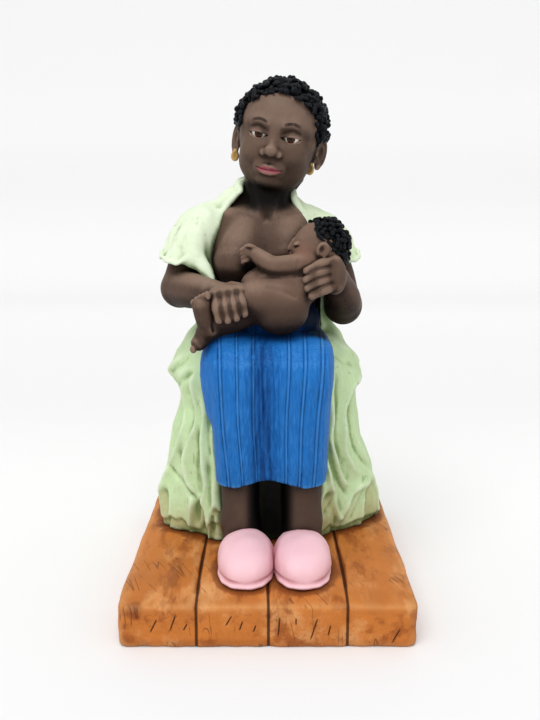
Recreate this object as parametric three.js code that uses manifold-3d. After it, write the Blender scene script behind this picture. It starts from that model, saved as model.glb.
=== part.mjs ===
// A painted figurine: a seated mother nursing her baby, on a base of four boards.
// Millimetres, +Z up, the figure faces -Y, and the origin is the middle of the base's underside.

import * as THREE from 'three';
import { mergeVertices } from 'three/addons/utils/BufferGeometryUtils.js';
import Module from 'manifold-3d';

const wasm = await Module();
wasm.setup();

// Driving dimensions
const baseWidth = 130;
const baseDepth = 150;
const baseHeight = 21;
const figureHeight = 233;     // from the boards to the top of the hair
const restGap = 0.3;          // between the figure's underside and the boards
const hemHeight = 38;         // skirt hem above the boards
const kneeHeight = 110;       // top of the lap above the boards
const headTilt = 10.5;        // degrees, towards +X
const headTurn = 7;           // degrees, towards -X
const headNod = 4;            // degrees, forwards

const floor = baseHeight + restGap;
const boards = baseHeight;
const crown = boards + figureHeight;

const degrees = THREE.MathUtils.degToRad;
const at = (x, y, z) => new THREE.Vector3(x, y, z);

// Helpers that turn three.js geometry into solids that can be joined and cut

function solid(geometry) {
  const bare = geometry.clone();
  for (const name of Object.keys(bare.attributes)) {
    if (name !== 'position') bare.deleteAttribute(name);
  }
  const merged = mergeVertices(bare, 1e-4);
  const points = Float32Array.from(merged.attributes.position.array);
  const triangles = Uint32Array.from(merged.index.array);
  if (signedVolume(points, triangles) < 0) triangles.reverse();
  const mesh = new wasm.Mesh({ numProp: 3, vertProperties: points, triVerts: triangles });
  return new wasm.Manifold(mesh);
}

function signedVolume(points, triangles) {
  const a = at(0, 0, 0);
  const b = at(0, 0, 0);
  const c = at(0, 0, 0);
  let volume = 0;
  for (let i = 0; i < triangles.length; i += 3) {
    a.fromArray(points, triangles[i] * 3);
    b.fromArray(points, triangles[i + 1] * 3);
    c.fromArray(points, triangles[i + 2] * 3);
    volume += a.dot(b.cross(c)) / 6;
  }
  return volume;
}

function geometryOf(body) {
  const { vertProperties, triVerts } = body.getMesh();
  const geometry = new THREE.BufferGeometry();
  geometry.setAttribute('position', new THREE.BufferAttribute(vertProperties, 3));
  geometry.setIndex(new THREE.BufferAttribute(triVerts, 1));
  geometry.computeVertexNormals();
  return geometry;
}

const fuse = (...bodies) => bodies.flat().reduce((whole, body) => whole.add(body));

// Drops the skins of small pockets that are closed in by the parts around them
function filled(body) {
  const skins = body.decompose();
  return skins.reduce((outer, skin) => (skin.volume() > outer.volume() ? skin : outer));
}

// A skin over closed rings of points, with each end closed by a fan
function loft(rings) {
  const sides = rings[0].length;
  const middle = (ring) => ring.reduce((sum, p) => sum.add(p), at(0, 0, 0)).divideScalar(sides);
  const points = [...rings.flat(), middle(rings[0]), middle(rings.at(-1))];
  const startPole = rings.length * sides;
  const endPole = startPole + 1;
  const lastRing = startPole - sides;
  const index = [];
  for (let side = 0; side < sides; side++) {
    const next = (side + 1) % sides;
    for (let ring = 0; ring + 1 < rings.length; ring++) {
      const here = ring * sides;
      const above = here + sides;
      index.push(here + side, here + next, above + next, here + side, above + next, above + side);
    }
    index.push(startPole, next, side, endPole, lastRing + side, lastRing + next);
  }
  const geometry = new THREE.BufferGeometry().setFromPoints(points);
  geometry.setIndex(index);
  return solid(geometry);
}

// Reads rows of [height, value, value, ...] as values that ease from one height to the next
function profile(rows) {
  return (height) => {
    let row = 0;
    while (row + 2 < rows.length && height > rows[row + 1][0]) row++;
    const [low, high] = [rows[row], rows[row + 1]];
    const t = THREE.MathUtils.clamp((height - low[0]) / (high[0] - low[0]), 0, 1);
    const ease = 0.5 * t + 0.5 * t * t * (3 - 2 * t);
    return low.slice(1).map((value, column) => THREE.MathUtils.lerp(value, high[column + 1], ease));
  };
}

// A point on a squarish oval; power 2 is an ellipse and more is squarer
function oval(angle, left, right, front, back, power) {
  const c = Math.cos(angle);
  const s = Math.sin(angle);
  const soft = (value) => Math.sign(value) * Math.abs(value) ** (2 / power);
  return [soft(c) * (c > 0 ? right : left), soft(s) * (s > 0 ? back : front)];
}

const ringAngles = (sides) => Array.from({ length: sides }, (_, side) => (side / sides) * Math.PI * 2);

// A round limb through stations of [x, y, z, radius], with domed ends
function limb(stations, sides = 12, steps = 3 * (stations.length - 1)) {
  const path = new THREE.CatmullRomCurve3(stations.map(([x, y, z]) => at(x, y, z)));
  const frames = path.computeFrenetFrames(steps, false);
  const radiusAt = (t) => {
    const place = t * (stations.length - 1);
    const first = Math.min(Math.floor(place), stations.length - 2);
    return THREE.MathUtils.lerp(stations[first][3], stations[first + 1][3], place - first);
  };
  const ring = (step, shift, scale) => {
    const t = step / steps;
    const radius = radiusAt(t);
    const centre = path.getPoint(t).addScaledVector(frames.tangents[step], shift * radius);
    return ringAngles(sides).map((angle) => centre.clone()
      .addScaledVector(frames.normals[step], Math.cos(angle) * radius * scale)
      .addScaledVector(frames.binormals[step], Math.sin(angle) * radius * scale));
  };
  const domeShift = 0.75;
  const domeScale = 0.65;
  const rings = [ring(0, -domeShift, domeScale)];
  for (let step = 0; step <= steps; step++) rings.push(ring(step, 0, 1));
  rings.push(ring(steps, domeShift, domeScale));
  return loft(rings);
}

// A sphere stretched to three radii, turned, then moved to its centre
function egg(centre, radii, turn = [0, 0, 0], detail = 14) {
  const geometry = new THREE.SphereGeometry(1, detail, Math.round(detail * 0.6));
  geometry.rotateX(Math.PI / 2);
  geometry.scale(...radii);
  geometry.applyMatrix4(new THREE.Matrix4().makeRotationFromEuler(
    new THREE.Euler(...turn.map(degrees), 'XYZ')));
  geometry.translate(...centre);
  return solid(geometry);
}

const placed = (body, matrix) => body.transform([...matrix.elements]);

// Boards: one block with rounded edges, and grooves that show its four boards

const edgeRound = 3;
const grooveWidth = 1.2;
const grooveDepth = 1.6;
const groovePlaces = [-31.5, 0.4, 35.1];

function boardBlock() {
  const levels = [             // height, inset
    [0, edgeRound * 0.45],
    [edgeRound * 0.5, 0],
    [baseHeight - edgeRound, 0],
    [baseHeight - edgeRound * 0.35, edgeRound * 0.3],
    [baseHeight, edgeRound],
  ];
  const cornerSteps = 3;
  const rings = levels.map(([height, inset]) => {
    const radius = edgeRound + 1 - inset * 0.6;
    const ring = [];
    for (let corner = 0; corner < 4; corner++) {
      const sideX = corner === 0 || corner === 3 ? 1 : -1;
      const sideY = corner < 2 ? 1 : -1;
      for (let step = 0; step <= cornerSteps; step++) {
        const angle = (corner + step / cornerSteps) * Math.PI / 2;
        ring.push(at(
          sideX * (baseWidth / 2 - inset - radius) + Math.cos(angle) * radius,
          sideY * (baseDepth / 2 - inset - radius) + Math.sin(angle) * radius,
          height));
      }
    }
    return ring;
  });
  return loft(rings);
}

function groove(x) {
  const over = 4;
  const top = new THREE.BoxGeometry(grooveWidth, baseDepth + over, grooveDepth + over);
  top.translate(x, 0, baseHeight - grooveDepth + (grooveDepth + over) / 2);
  const ends = [-1, 1].map((side) => {
    const end = new THREE.BoxGeometry(grooveWidth, over, baseHeight + over);
    end.translate(x, side * (baseDepth / 2 - grooveDepth + over / 2), baseHeight / 2);
    return solid(end);
  });
  return fuse(solid(top), ends);
}

const plankBase = groovePlaces.reduce((block, x) => block.subtract(groove(x)), boardBlock());

// Robe: it hangs from the shoulders, swells over the seat and spreads on the boards

const robeMiddle = 28;        // Y of the robe's own axis
const robeSkirt = profile([   // height above the boards, left, right, front, back
  [0, 60, 60.5, 45, 41],
  [12, 59, 60.5, 46, 40],
  [32, 55.5, 55, 46, 38],
  [52, 51.5, 48.5, 46, 36],
  [72, 46.2, 46, 44.5, 34.5],
  [80, 49, 48, 45, 35.5],
  [86, 51.5, 48.5, 44, 36.5],
  [92, 50, 45.5, 41, 36],
  [98, 46, 41.5, 34, 34],
  [106, 42, 38, 24, 32],
]);
const robeFolds = [           // waves round the robe, turn in degrees, share of the depth
  [9, 20, 0.5], [14, 75, 0.3], [23, 130, 0.2],
];
const foldDepth = profile([[0, 3.2], [30, 2.6], [62, 2.0], [80, 1.0], [90, 0.6], [106, 0.3]]);

function robeFold(angle, height) {
  const [depth] = foldDepth(height);
  const lean = height * 0.004;
  return depth * robeFolds.reduce((sum, [waves, turn, share]) => (
    sum + share * Math.cos(waves * (angle + lean) + degrees(turn))), 0);
}

function robeLower() {
  const heights = [0, 8, 24, 40, 56, 72, 80, 86, 92, 98, 106];
  return loft(heights.map((height) => {
    const [left, right, front, back] = robeSkirt(height);
    return ringAngles(40).map((angle) => {
      const [x, y] = oval(angle, left, right, front, back, 2.5);
      const fold = robeFold(angle, height);
      return at(x + Math.cos(angle) * fold, robeMiddle + y + Math.sin(angle) * fold, floor + height);
    });
  }));
}

const robeBodice = profile([  // height above the boards, left, right, front, back
  [100, 40, 36, 18, 32],
  [112, 38, 34, 22, 28],
  [130, 37, 34, 26, 25],
  [146, 37, 34, 27, 23],
  [158, 36, 32, 23, 21],
  [166, 32, 27, 18, 18],
  [172, 28, 18, 14, 15],
  [177, 23.5, 13, 12, 12],
  [181, 18, 10, 10, 10],
  [182.5, 13, 6, 7, 7],
]);

function robeUpper() {
  const heights = [100, 112, 130, 146, 158, 166, 172, 177, 181, 182.5];
  return loft(heights.map((height) => {
    const [left, right, front, back] = robeBodice(height);
    return ringAngles(22).map((angle) => {
      const [x, y] = oval(angle, left, right, front, back, 2.3);
      return at(x, robeMiddle - 2 + y, boards + height);
    });
  }));
}

// The opening of the robe, from the collar down both lapels to the lap
function robeOpening() {
  const edge = [[-9, 190], [-13, 180], [-21.4, 167], [-26.9, 150], [-27.3, 145], [-25.6, 133], [-25, 90],
    [27, 90], [26, 145], [19.1, 160.5], [12.8, 171], [9, 190]];
  const shape = new THREE.Shape(edge.map(([x, height]) => new THREE.Vector2(x, height + boards)));
  const geometry = new THREE.ExtrudeGeometry(shape, { depth: 90, bevelEnabled: false });
  geometry.rotateX(Math.PI / 2);
  geometry.translate(0, 22, 0);
  return solid(geometry);
}

// The hollow behind the shins, under the skirt
function robeHollow() {
  const wide = 50;
  const deep = 30;
  const high = 42;
  const backWall = -10;
  const box = new THREE.BoxGeometry(wide, deep, high * 2);
  box.translate(1.6, backWall - deep / 2, boards);
  return solid(box);
}

// Short sleeves, each a stack of ovals; the cuff dips towards the chest
const cuffDip = 0.3;
const sleeves = [             // height above the boards, middle x, middle y, half width, half depth
  [[142, -45.2, 15, 9.6, 14], [155, -40.5, 19, 11, 14], [164, -35.5, 22, 10.5, 12.5],
    [169, -32, 24, 8, 9], [172, -29, 25, 4, 5]],
  [[142, 37.8, 15, 9, 13.5], [155, 33.5, 19, 10.5, 13.5], [164, 27.5, 22, 10.5, 12],
    [169, 23.5, 24, 8, 9], [172, 20, 25, 4, 5]],
];

function sleeve(rows) {
  return loft(rows.map(([height, middleX, middleY, wide, deep], row) => ringAngles(16).map((angle) => {
    const x = Math.cos(angle) * wide;
    const y = Math.sin(angle) * deep;
    const dip = row === 0 ? cuffDip * (y - Math.abs(x + Math.sign(middleX) * wide) * 0.5) : 0;
    return at(middleX + x, middleY + y, boards + height + dip);
  })));
}

// Skirt: one tube over both legs, with a valley between the knees

const skirtMiddle = -6;
const skirtProfile = profile([ // height above the boards, left, right, front, back
  [hemHeight, 26.5, 26, 31, 20],
  [54, 27.5, 27.5, 33.5, 20],
  [74, 29.5, 29, 36, 24],
  [90, 31.5, 30.5, 37, 28],
  [98, 31.5, 30.5, 36, 30],
  [104, 30, 29.5, 31, 30],
  [107.5, 27, 27, 24, 28],
  [kneeHeight, 22, 22, 12, 26],
]);

function skirt() {
  const heights = [hemHeight, 54, 74, 90, 98, 102, 105, 107.5, kneeHeight];
  return loft(heights.map((height) => {
    const [left, right, front, back] = skirtProfile(height);
    return ringAngles(34).map((angle) => {
      const [x, y] = oval(angle, left, right, front, back, 2.8);
      const valley = y < 0 ? 6.5 * Math.exp(-((x + 2) ** 2) / 45) : 0;
      const hemArch = height === hemHeight ? 2.5 * Math.exp(-((x - 1) ** 2) / 120) : 0;
      return at(1.5 + x, skirtMiddle + y + valley, boards + height + hemArch);
    });
  }));
}

// The skirt's waist, swollen by the belly under the baby
const belly = () => egg([1, 4, boards + 114], [25, 18, 16], [0, 0, 0], 14);

// Legs and slippers

function legs() {
  const left = limb([[-12.8, -25, 25, 9.6], [-13, -23, 45, 9.4], [-13.5, -18, 70, 10]], 12, 2);
  const right = limb([[16.6, -24, 25, 10], [16.6, -22, 45, 9.8], [16.5, -18, 70, 10]], 12, 2);
  return [left, right];
}

const slipperLength = 25;     // from the middle to the toe
const slippers = [[-11.2, 13.2], [16.4, 13.6]];

function slipper([x, halfWidth]) {
  const welt = 1.2;
  const toe = egg([x, -38, boards + 2], [halfWidth, slipperLength, 16], [0, 0, 0], 16);
  const soleRing = (height, grow) => ringAngles(14).map((angle) => {
    const [side, along] = oval(angle, halfWidth + grow, halfWidth + grow, slipperLength + grow, 22, 2.2);
    return at(x + side, -38 + along, floor + height);
  });
  const sole = loft([soleRing(0, welt * 0.3), soleRing(1.4, welt), soleRing(2.6, welt * 0.6)]);
  return fuse(toe, sole);
}

const underBoards = () => {
  const slab = new THREE.BoxGeometry(baseWidth * 2, baseDepth * 2, 40);
  slab.translate(0, 0, floor - 20);
  return solid(slab);
};

// Mother's body

const torsoProfile = profile([ // height above the boards, left, right, front, back
  [96, 27, 27, 20, 20],
  [116, 25, 25, 19, 20],
  [138, 27, 27, 19, 20],
  [152, 28, 27, 18, 18],
  [162, 24, 24, 15, 15],
  [168, 14, 14, 12, 12],
]);

function torso() {
  const heights = [96, 138, 152, 160, 165, 168];
  return loft(heights.map((height) => {
    const [left, right, front, back] = torsoProfile(height);
    return ringAngles(18).map((angle) => {
      const [x, y] = oval(angle, left, right, front, back, 2.2);
      return at(1 + x, 22 + y, boards + height);
    });
  }));
}

const neck = [[-0.5, 23, boards + 160, 15], [-0.2, 21, boards + 176, 12.5], [3, 19, boards + 190, 12]];
const breasts = [
  [[-11, 12, boards + 158, 7], [-13, 6.5, boards + 150, 11], [-14.5, 2.5, boards + 142, 12.5]],
  [[11, 13, boards + 159, 7], [10.5, 7.5, boards + 152, 10.5], [10.5, 4, boards + 145, 11.5]],
];

const upperArms = [
  [[-41, 20, 172, 9], [-44.5, 16, 160, 9.2], [-45.2, 13, 149.4, 9.4]],
  [[33, 21, 171, 9], [37.5, 17, 155, 9.6], [39.9, 12, 139.4, 9.8]],
];
const forearms = [
  [[-45.2, 12, 149.4, 9.4], [-36, -2, 150, 8.8], [-26, -15, 151, 6.8]],
  [[39.9, 12, 139.4, 9.8], [39, 0, 146, 8.4], [33, -11, 156, 6.3]],
];

// Four fingers of a hand: the first knuckle, the step to the next one, and the way on to joint and tip
const fingerRadius = 2.3;
const littleFinger = 0.85;    // its length as a share of the others'
const handRight = {
  first: [-25.2, -27, 151], step: [4.2, 0.7, 0.4], joint: [0.6, -5.6, -5], tip: [1.4, -5, -12],
};
const handLeft = {
  first: [30.6, -19, 166], step: [0.3, -0.5, -4.5], joint: [-6.6, -5.8, -1], tip: [-12.6, -5.8, -4],
};

function fingers({ first, step, joint, tip }) {
  return [0, 1, 2, 3].map((n) => {
    const length = n === 3 ? littleFinger : 1;
    const knuckle = first.map((value, axis) => value + n * step[axis]);
    const onFrom = (move) => knuckle.map((value, axis) => value + move[axis] * length);
    return limb([
      [...knuckle, fingerRadius * 1.05],
      [...onFrom(joint), fingerRadius],
      [...onFrom(tip), fingerRadius * 0.85],
    ], 6, 2);
  });
}

function hands() {
  const palms = [
    limb([[-26, -15, 151, 6.6], [-19.5, -23.5, 150.5, 7]], 9, 1),
    limb([[33, -11, 156, 6.3], [29.5, -17.5, 159, 7.2]], 9, 1),
  ];
  const knuckleRows = [
    limb([[-23.5, -26, 150.5, 4.2], [-13, -24, 151.5, 4.2]], 8, 1),
    limb([[30.5, -19, 164.5, 4.2], [31.5, -20.5, 154, 4.2]], 8, 1),
  ];
  return [...palms, ...knuckleRows, ...fingers(handRight), ...fingers(handLeft)];
}

// Mother's head, in its own frame: the face looks along -Y and the origin is between the ears

const skullTop = 30.7;        // above the ears
const hairDepth = 3.3;
const headPlace = new THREE.Matrix4().makeRotationFromEuler(
  new THREE.Euler(degrees(headNod), degrees(headTilt), degrees(-headTurn), 'ZYX'));
headPlace.setPosition(at(4.9, 20, crown - 33.7));

// Hair is a swollen skull whose surface is raised and lowered into tight curls
function curls([wide, deep, high], lift, around, across) {
  const geometry = new THREE.SphereGeometry(1, around, across);
  geometry.rotateX(Math.PI / 2);
  const place = geometry.attributes.position;
  for (let i = 0; i < place.count; i++) {
    const point = at(0, 0, 0).fromBufferAttribute(place, i);
    const row = Math.round((Math.acos(THREE.MathUtils.clamp(point.z, -1, 1)) / Math.PI) * across);
    const turn = Math.round((Math.atan2(point.y, point.x) / (Math.PI * 2)) * around + around);
    const raised = row > 0 && row < across && (row + Math.floor(turn / 2)) % 2 ? lift : -lift;
    point.multiply(at(wide + raised, deep + raised, high + raised));
    place.setXYZ(i, point.x, point.y, point.z);
  }
  return solid(geometry);
}

// The face's share of the head: an arch that the hair is cut back to
function hairWindow(halfWide, top, depth) {
  const shape = new THREE.Shape();
  shape.moveTo(-halfWide, -40);
  shape.lineTo(-halfWide, top - halfWide * 0.9);
  shape.quadraticCurveTo(-halfWide * 0.8, top, 0, top);
  shape.quadraticCurveTo(halfWide * 0.8, top, halfWide, top - halfWide * 0.9);
  shape.lineTo(halfWide, -40);
  const geometry = new THREE.ExtrudeGeometry(shape, { depth: 60, bevelEnabled: false, curveSegments: 4 });
  geometry.rotateX(Math.PI / 2);
  geometry.translate(0, depth, 0);
  return solid(geometry);
}

function head() {
  const skin = [
    egg([0, 2, 9], [21, 22, skullTop - 9], [0, 0, 0], 16),             // skull
    egg([0, -3, -1.5], [18.8, 18, 18.3], [8, 0, 0], 16),               // face
    egg([0, -8.5, -12.5], [11.5, 9.5, 7.4], [0, 0, 0], 12),            // chin
    limb([[0, -20, 4, 2], [0, -22.3, -3.4, 2.9]], 7, 1),               // nose
    egg([0, -19.8, -4.8], [4.8, 3.4, 2.4], [0, 0, 0], 8),              // nostrils
    egg([0, -18.2, -10.2], [5.8, 3.2, 2.7], [0, 0, 0], 10),            // lips
    ...[-1, 1].map((side) => egg([side * 20.8, 1, -1.5], [2.8, 4.4, 7.2], [0, side * 8, side * 20], 9)),
    ...[-1, 1].map((side) => egg([side * 19.8, -1.2, -8.4], [2.6, 2.8, 3.4], [0, 0, 0], 8)),
  ];
  const cap = placed(curls([21 + hairDepth, 22 + hairDepth, skullTop - 8.5 + hairDepth], 0.7, 24, 12),
    new THREE.Matrix4().makeTranslation(0, 3.5, 8.5));
  const napeCut = new THREE.BoxGeometry(90, 90, 40);
  napeCut.rotateX(degrees(-14));
  napeCut.translate(0, 4, -31);
  const trimmed = cap.subtract(hairWindow(17, 24.5, -3)).subtract(solid(napeCut));
  return placed(fuse(skin, trimmed), headPlace);
}

// Baby: it lies across the lap, its head in the crook of the mother's left arm

const babyHead = at(26, -11, 171);

function baby() {
  const headAndFace = [
    egg([24.5, -11.5, 171], [12.5, 12, 13], [0, 8, 0], 14),
    egg([17.5, -13, 168.5], [6.5, 8.5, 8], [0, 10, 0], 10),        // cheeks and chin
    egg([12.4, -13.5, 171.5], [2.2, 2, 2.2], [0, 0, 0], 6),        // nose
    egg([25.8, -23, 170.8], [3.2, 2.2, 4], [0, 15, 10], 8),        // ear
  ];
  const trunk = limb([[22, -11, 160, 7.5], [8, -12, 157, 9.5], [-4, -13, 153, 8.5]], 10, 2);
  const seat = egg([6, -20, 143.4], [13.8, 12.5, 13], [0, 8, 0], 14);
  const thighs = limb([[2, -20, 147, 10.5], [-9, -23, 147.5, 8]], 10, 1);
  const shins = limb([[-9, -23, 147, 7.6], [-18, -27, 141.5, 6.6], [-26.5, -28.5, 137, 4.8]], 9, 2);
  const nearFoot = limb([[-28.5, -29.5, 135.5, 4], [-30.5, -31, 142, 3.6], [-31.3, -31.5, 146, 3.4]], 7, 2);
  const farFoot = limb([[-25.5, -25, 136, 5], [-30, -27.5, 131, 3.9], [-33, -29, 127.6, 3]], 7, 2);
  const upperArm = limb([[19, -19, 165, 5.3], [10, -21.5, 163.3, 4.9], [1.5, -21, 162.6, 4.5]], 8, 2);
  const forearm = limb([[1.5, -21, 162.6, 4.5], [-3, -18.5, 166, 3.9], [-7.5, -15.5, 168.8, 3.1]], 8, 2);
  const hand = egg([-10, -13.5, 168], [4, 3.2, 3.6], [0, 0, 0], 8);
  const toes = [0, 1, 2, 3, 4].map((n) => egg(
    [-33 + n * 1.5, -32.3 + n * 0.3, 149.2 - n * 0.5], [1.3 - n * 0.1, 1.4, 1.6], [0, 0, 0], 5));
  const hairPlace = new THREE.Matrix4().makeRotationY(degrees(8)).setPosition(babyHead);
  const bareFace = egg([7, -13, 166], [16, 24, 16], [0, 24, 0], 12);
  const cap = placed(curls([14, 13.6, 15.2], 0.5, 16, 8), hairPlace).subtract(bareFace);
  return [...headAndFace, trunk, seat, thighs, shins, nearFoot, farFoot, upperArm, forearm, hand, ...toes, cap];
}

// The whole figure is one casting

const robe = fuse(robeLower().subtract(robeHollow()), robeUpper().subtract(robeOpening()), sleeves.map(sleeve));
const chest = breasts.map((row) => limb(row, 12, 2));
const arms = [...upperArms, ...forearms].map((row) => limb(row, 10, 2));
const mother = fuse(torso(), limb(neck, 12, 3), chest, arms, hands(), legs(), head());
const together = fuse(robe, skirt(), belly(), mother, slippers.map(slipper), baby());
const figure = filled(together.subtract(underBoards()));

function mesh(name, body, material) {
  const made = new THREE.Mesh(geometryOf(body), material);
  made.name = name;
  return made;
}

const group = new THREE.Group();
group.add(
  mesh('mother_and_child', figure,
    new THREE.MeshStandardMaterial({ color: 0xbcd8a6, roughness: 0.7, metalness: 0 })),
  mesh('plank_base', plankBase,
    new THREE.MeshStandardMaterial({ color: 0xb5642b, roughness: 0.6, metalness: 0 })),
);

export default group;
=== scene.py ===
# A painted casting of a seated mother nursing a baby, on a slab grooved like four stained boards.
# Every form is modelled in millimetres as soft strokes of clay, then skinned as a mesh.

import math
from concurrent.futures import ThreadPoolExecutor

import bpy
import numpy as np
from mathutils import Euler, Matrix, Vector


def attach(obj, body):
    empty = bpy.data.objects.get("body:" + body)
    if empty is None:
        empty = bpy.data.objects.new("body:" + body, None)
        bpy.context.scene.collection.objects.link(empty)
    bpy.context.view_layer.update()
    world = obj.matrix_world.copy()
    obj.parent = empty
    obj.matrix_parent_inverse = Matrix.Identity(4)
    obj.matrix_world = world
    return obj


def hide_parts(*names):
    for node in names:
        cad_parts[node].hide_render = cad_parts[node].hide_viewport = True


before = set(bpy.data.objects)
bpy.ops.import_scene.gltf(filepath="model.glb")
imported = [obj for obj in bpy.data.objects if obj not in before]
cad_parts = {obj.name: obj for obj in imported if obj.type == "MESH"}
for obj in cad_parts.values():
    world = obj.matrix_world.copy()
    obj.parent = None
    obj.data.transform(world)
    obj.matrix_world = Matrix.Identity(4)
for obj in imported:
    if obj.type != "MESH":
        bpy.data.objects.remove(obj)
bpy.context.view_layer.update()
millimetre = 0.001
coarser = 1.0      # how much coarser the skin is than each piece's step

view = {
    "place": (1.09, -388.08, 191.29),
    "down": 11.239,           # degrees below level
    "lens": 39.0,
}


def setCamera():
    camera = bpy.data.objects.new("camera", bpy.data.cameras.new("camera"))
    camera.location = [value * millimetre for value in view["place"]]
    camera.rotation_euler = (math.radians(90 - view["down"]), 0, 0)
    camera.data.lens = view["lens"]
    camera.data.sensor_width = 36
    camera.data.clip_start = 0.01
    bpy.context.scene.collection.objects.link(camera)
    bpy.context.scene.camera = camera


setCamera()
print("camera set")

# Heights shared by all the pieces
boards = 21.0
floor = 21.1

# Clay: strokes that are added to and cut from one another, read as a distance to the surface

farAway = 12.0      # the distance given where no stroke is near
margin = 6.0        # how far from a stroke it is still measured
endless = 1e9


def smoothMin(a, b, blend):
    if blend <= 0:
        return np.minimum(a, b)
    h = np.clip(0.5 + 0.5 * (b - a) / blend, 0, 1)
    return b + (a - b) * h - blend * h * (1 - h)


def smoothStep(low, high, value):
    t = np.clip((value - low) / (high - low), 0, 1)
    return t * t * (3 - 2 * t)


def lengths(vectors):
    return np.sqrt(np.einsum("ij,ij->i", vectors, vectors))


def turnMatrix(turn):
    return np.array(Euler([math.radians(a) for a in turn], "ZYX").to_matrix())


class Clay:
    def __init__(self, origin=(0, 0, 0), turn=None):
        self.strokes = []
        self.origin = np.array(origin, float)
        self.axes = np.eye(3) if turn is None else np.array(turn)
        self.low = np.full(3, endless)
        self.high = np.full(3, -endless)

    def add(self, shape, blend=0.0):
        self.strokes.append(("add", shape, blend))
        self.low = np.minimum(self.low, shape[1])
        self.high = np.maximum(self.high, shape[2])
        return self

    def cut(self, shape, blend=0.0):
        self.strokes.append(("cut", shape, blend))
        return self

    def raiseBy(self, height):        # relief, worked out point by point
        self.strokes.append(("raise", (height, np.full(3, -endless), np.full(3, endless)), 0.0))
        return self

    def inward(self, points):
        return (points - self.origin) @ self.axes

    def outward(self, points):
        return points @ self.axes.T + self.origin

    def distancePart(self, points):
        d = np.full(len(points), farAway)
        lowest, highest = points.min(0), points.max(0)
        for kind, (measure, low, high), blend in self.strokes:
            reach = margin + blend
            if np.any(low - reach > highest) or np.any(high + reach < lowest):
                continue
            near = np.flatnonzero(np.all((points >= low - reach) & (points <= high + reach), axis=1))
            if not len(near):
                continue
            value = measure(points[near])
            if kind == "add":
                d[near] = smoothMin(d[near], value, blend)
            elif kind == "cut":
                d[near] = -smoothMin(-d[near], value, blend)
            else:
                d[near] -= value
        return d

    def distance(self, points, chunk=24000):      # points in the clay's own frame
        parts = [points[start:start + chunk] for start in range(0, len(points), chunk)]
        with ThreadPoolExecutor(4) as pool:
            return np.concatenate(list(pool.map(self.distancePart, parts)))

    def shape(self, extra=1.0):       # this clay as one stroke of another
        return self.distancePart, self.low - extra, self.high + extra

    def front(self, x, z):       # where a finger that comes from the front meets the clay
        y, behind = -85.0, 80.0
        for _ in range(200):
            gap = self.distancePart(np.array([[x, y, z]]))[0]
            if gap < 0.02 or y > behind:
                break
            y += gap * 0.7
        return y

    def drawn(self, places, radius, out, steps=4):      # x and height above the boards, on the front
        stations = [[x, self.front(x, boards + height) + radius - out, boards + height, radius]
                    for x, height in places]
        stations[0][3] = stations[-1][3] = radius * 0.6
        return limb(stations, steps)


def boxyEgg(centre, radii, power):      # an egg with fuller corners
    centre, radii = np.array(centre, float), np.array(radii, float)

    def measure(points):
        q = points - centre
        k = np.maximum(((np.abs(q) / radii) ** power).sum(1), 1e-6) ** (1 / power)
        return lengths(q) * (1 - 1 / k) * 0.9
    return measure, centre - radii, centre + radii


def egg(centre, radii, turn=(0, 0, 0)):
    centre = np.array(centre, float)
    radii = np.array(radii, float)
    axes = turnMatrix(turn)
    reach = np.sqrt(((axes * radii) ** 2).sum(1))

    def measure(points):
        q = ((points - centre) @ axes) / radii
        share = lengths(q)
        steep = np.maximum(lengths(q / radii), 1e-9)
        return np.where(share < 0.02, -radii.min(), share * (share - 1) / steep)
    return measure, centre - reach, centre + reach


def smoothPath(knots, steps):
    knots = np.array(knots, float)
    if len(knots) < 3 or steps < 2:
        return knots
    ends = np.vstack([2 * knots[0] - knots[1], knots, 2 * knots[-1] - knots[-2]])
    path = []
    for i in range(1, len(ends) - 2):
        a, b, c, d = ends[i - 1:i + 3]
        for t in np.arange(steps) / steps:
            path.append(0.5 * (2 * b + (c - a) * t + (2 * a - 5 * b + 4 * c - d) * t * t
                               + (3 * b - a - 3 * c + d) * t ** 3))
    path.append(knots[-1])
    return np.array(path)


def limb(stations, steps=3):      # stations of x, y, z, radius
    path = smoothPath(stations, steps)
    start, end = path[:-1], path[1:]

    def measure(points):
        best = np.full(len(points), endless)
        for a, b in zip(start, end):
            along = b[:3] - a[:3]
            q = points - a[:3]
            t = np.clip(q @ along / max(along @ along, 1e-9), 0, 1)
            q = q - t[:, None] * along
            np.minimum(best, lengths(q) - a[3] - t * (b[3] - a[3]), out=best)
        return best
    widest = path[:, 3:4]
    return measure, (path[:, :3] - widest).min(0), (path[:, :3] + widest).max(0)


def slab(point, normal):          # everything behind a plane
    point, normal = np.array(point, float), np.array(normal, float)
    normal = normal / np.linalg.norm(normal)
    return (lambda points: (points - point) @ normal), np.full(3, -endless), np.full(3, endless)


def brick(centre, half, rounding=1.0, turn=(0, 0, 0)):
    centre, half = np.array(centre, float), np.array(half, float)
    axes = turnMatrix(turn)
    reach = (np.abs(axes) * half).sum(1)

    def measure(points):
        q = np.abs((points - centre) @ axes) - half + rounding
        outside = np.sqrt((np.maximum(q, 0) ** 2).sum(1))
        return outside + np.minimum(q.max(1), 0) - rounding
    return measure, centre - reach, centre + reach


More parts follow.
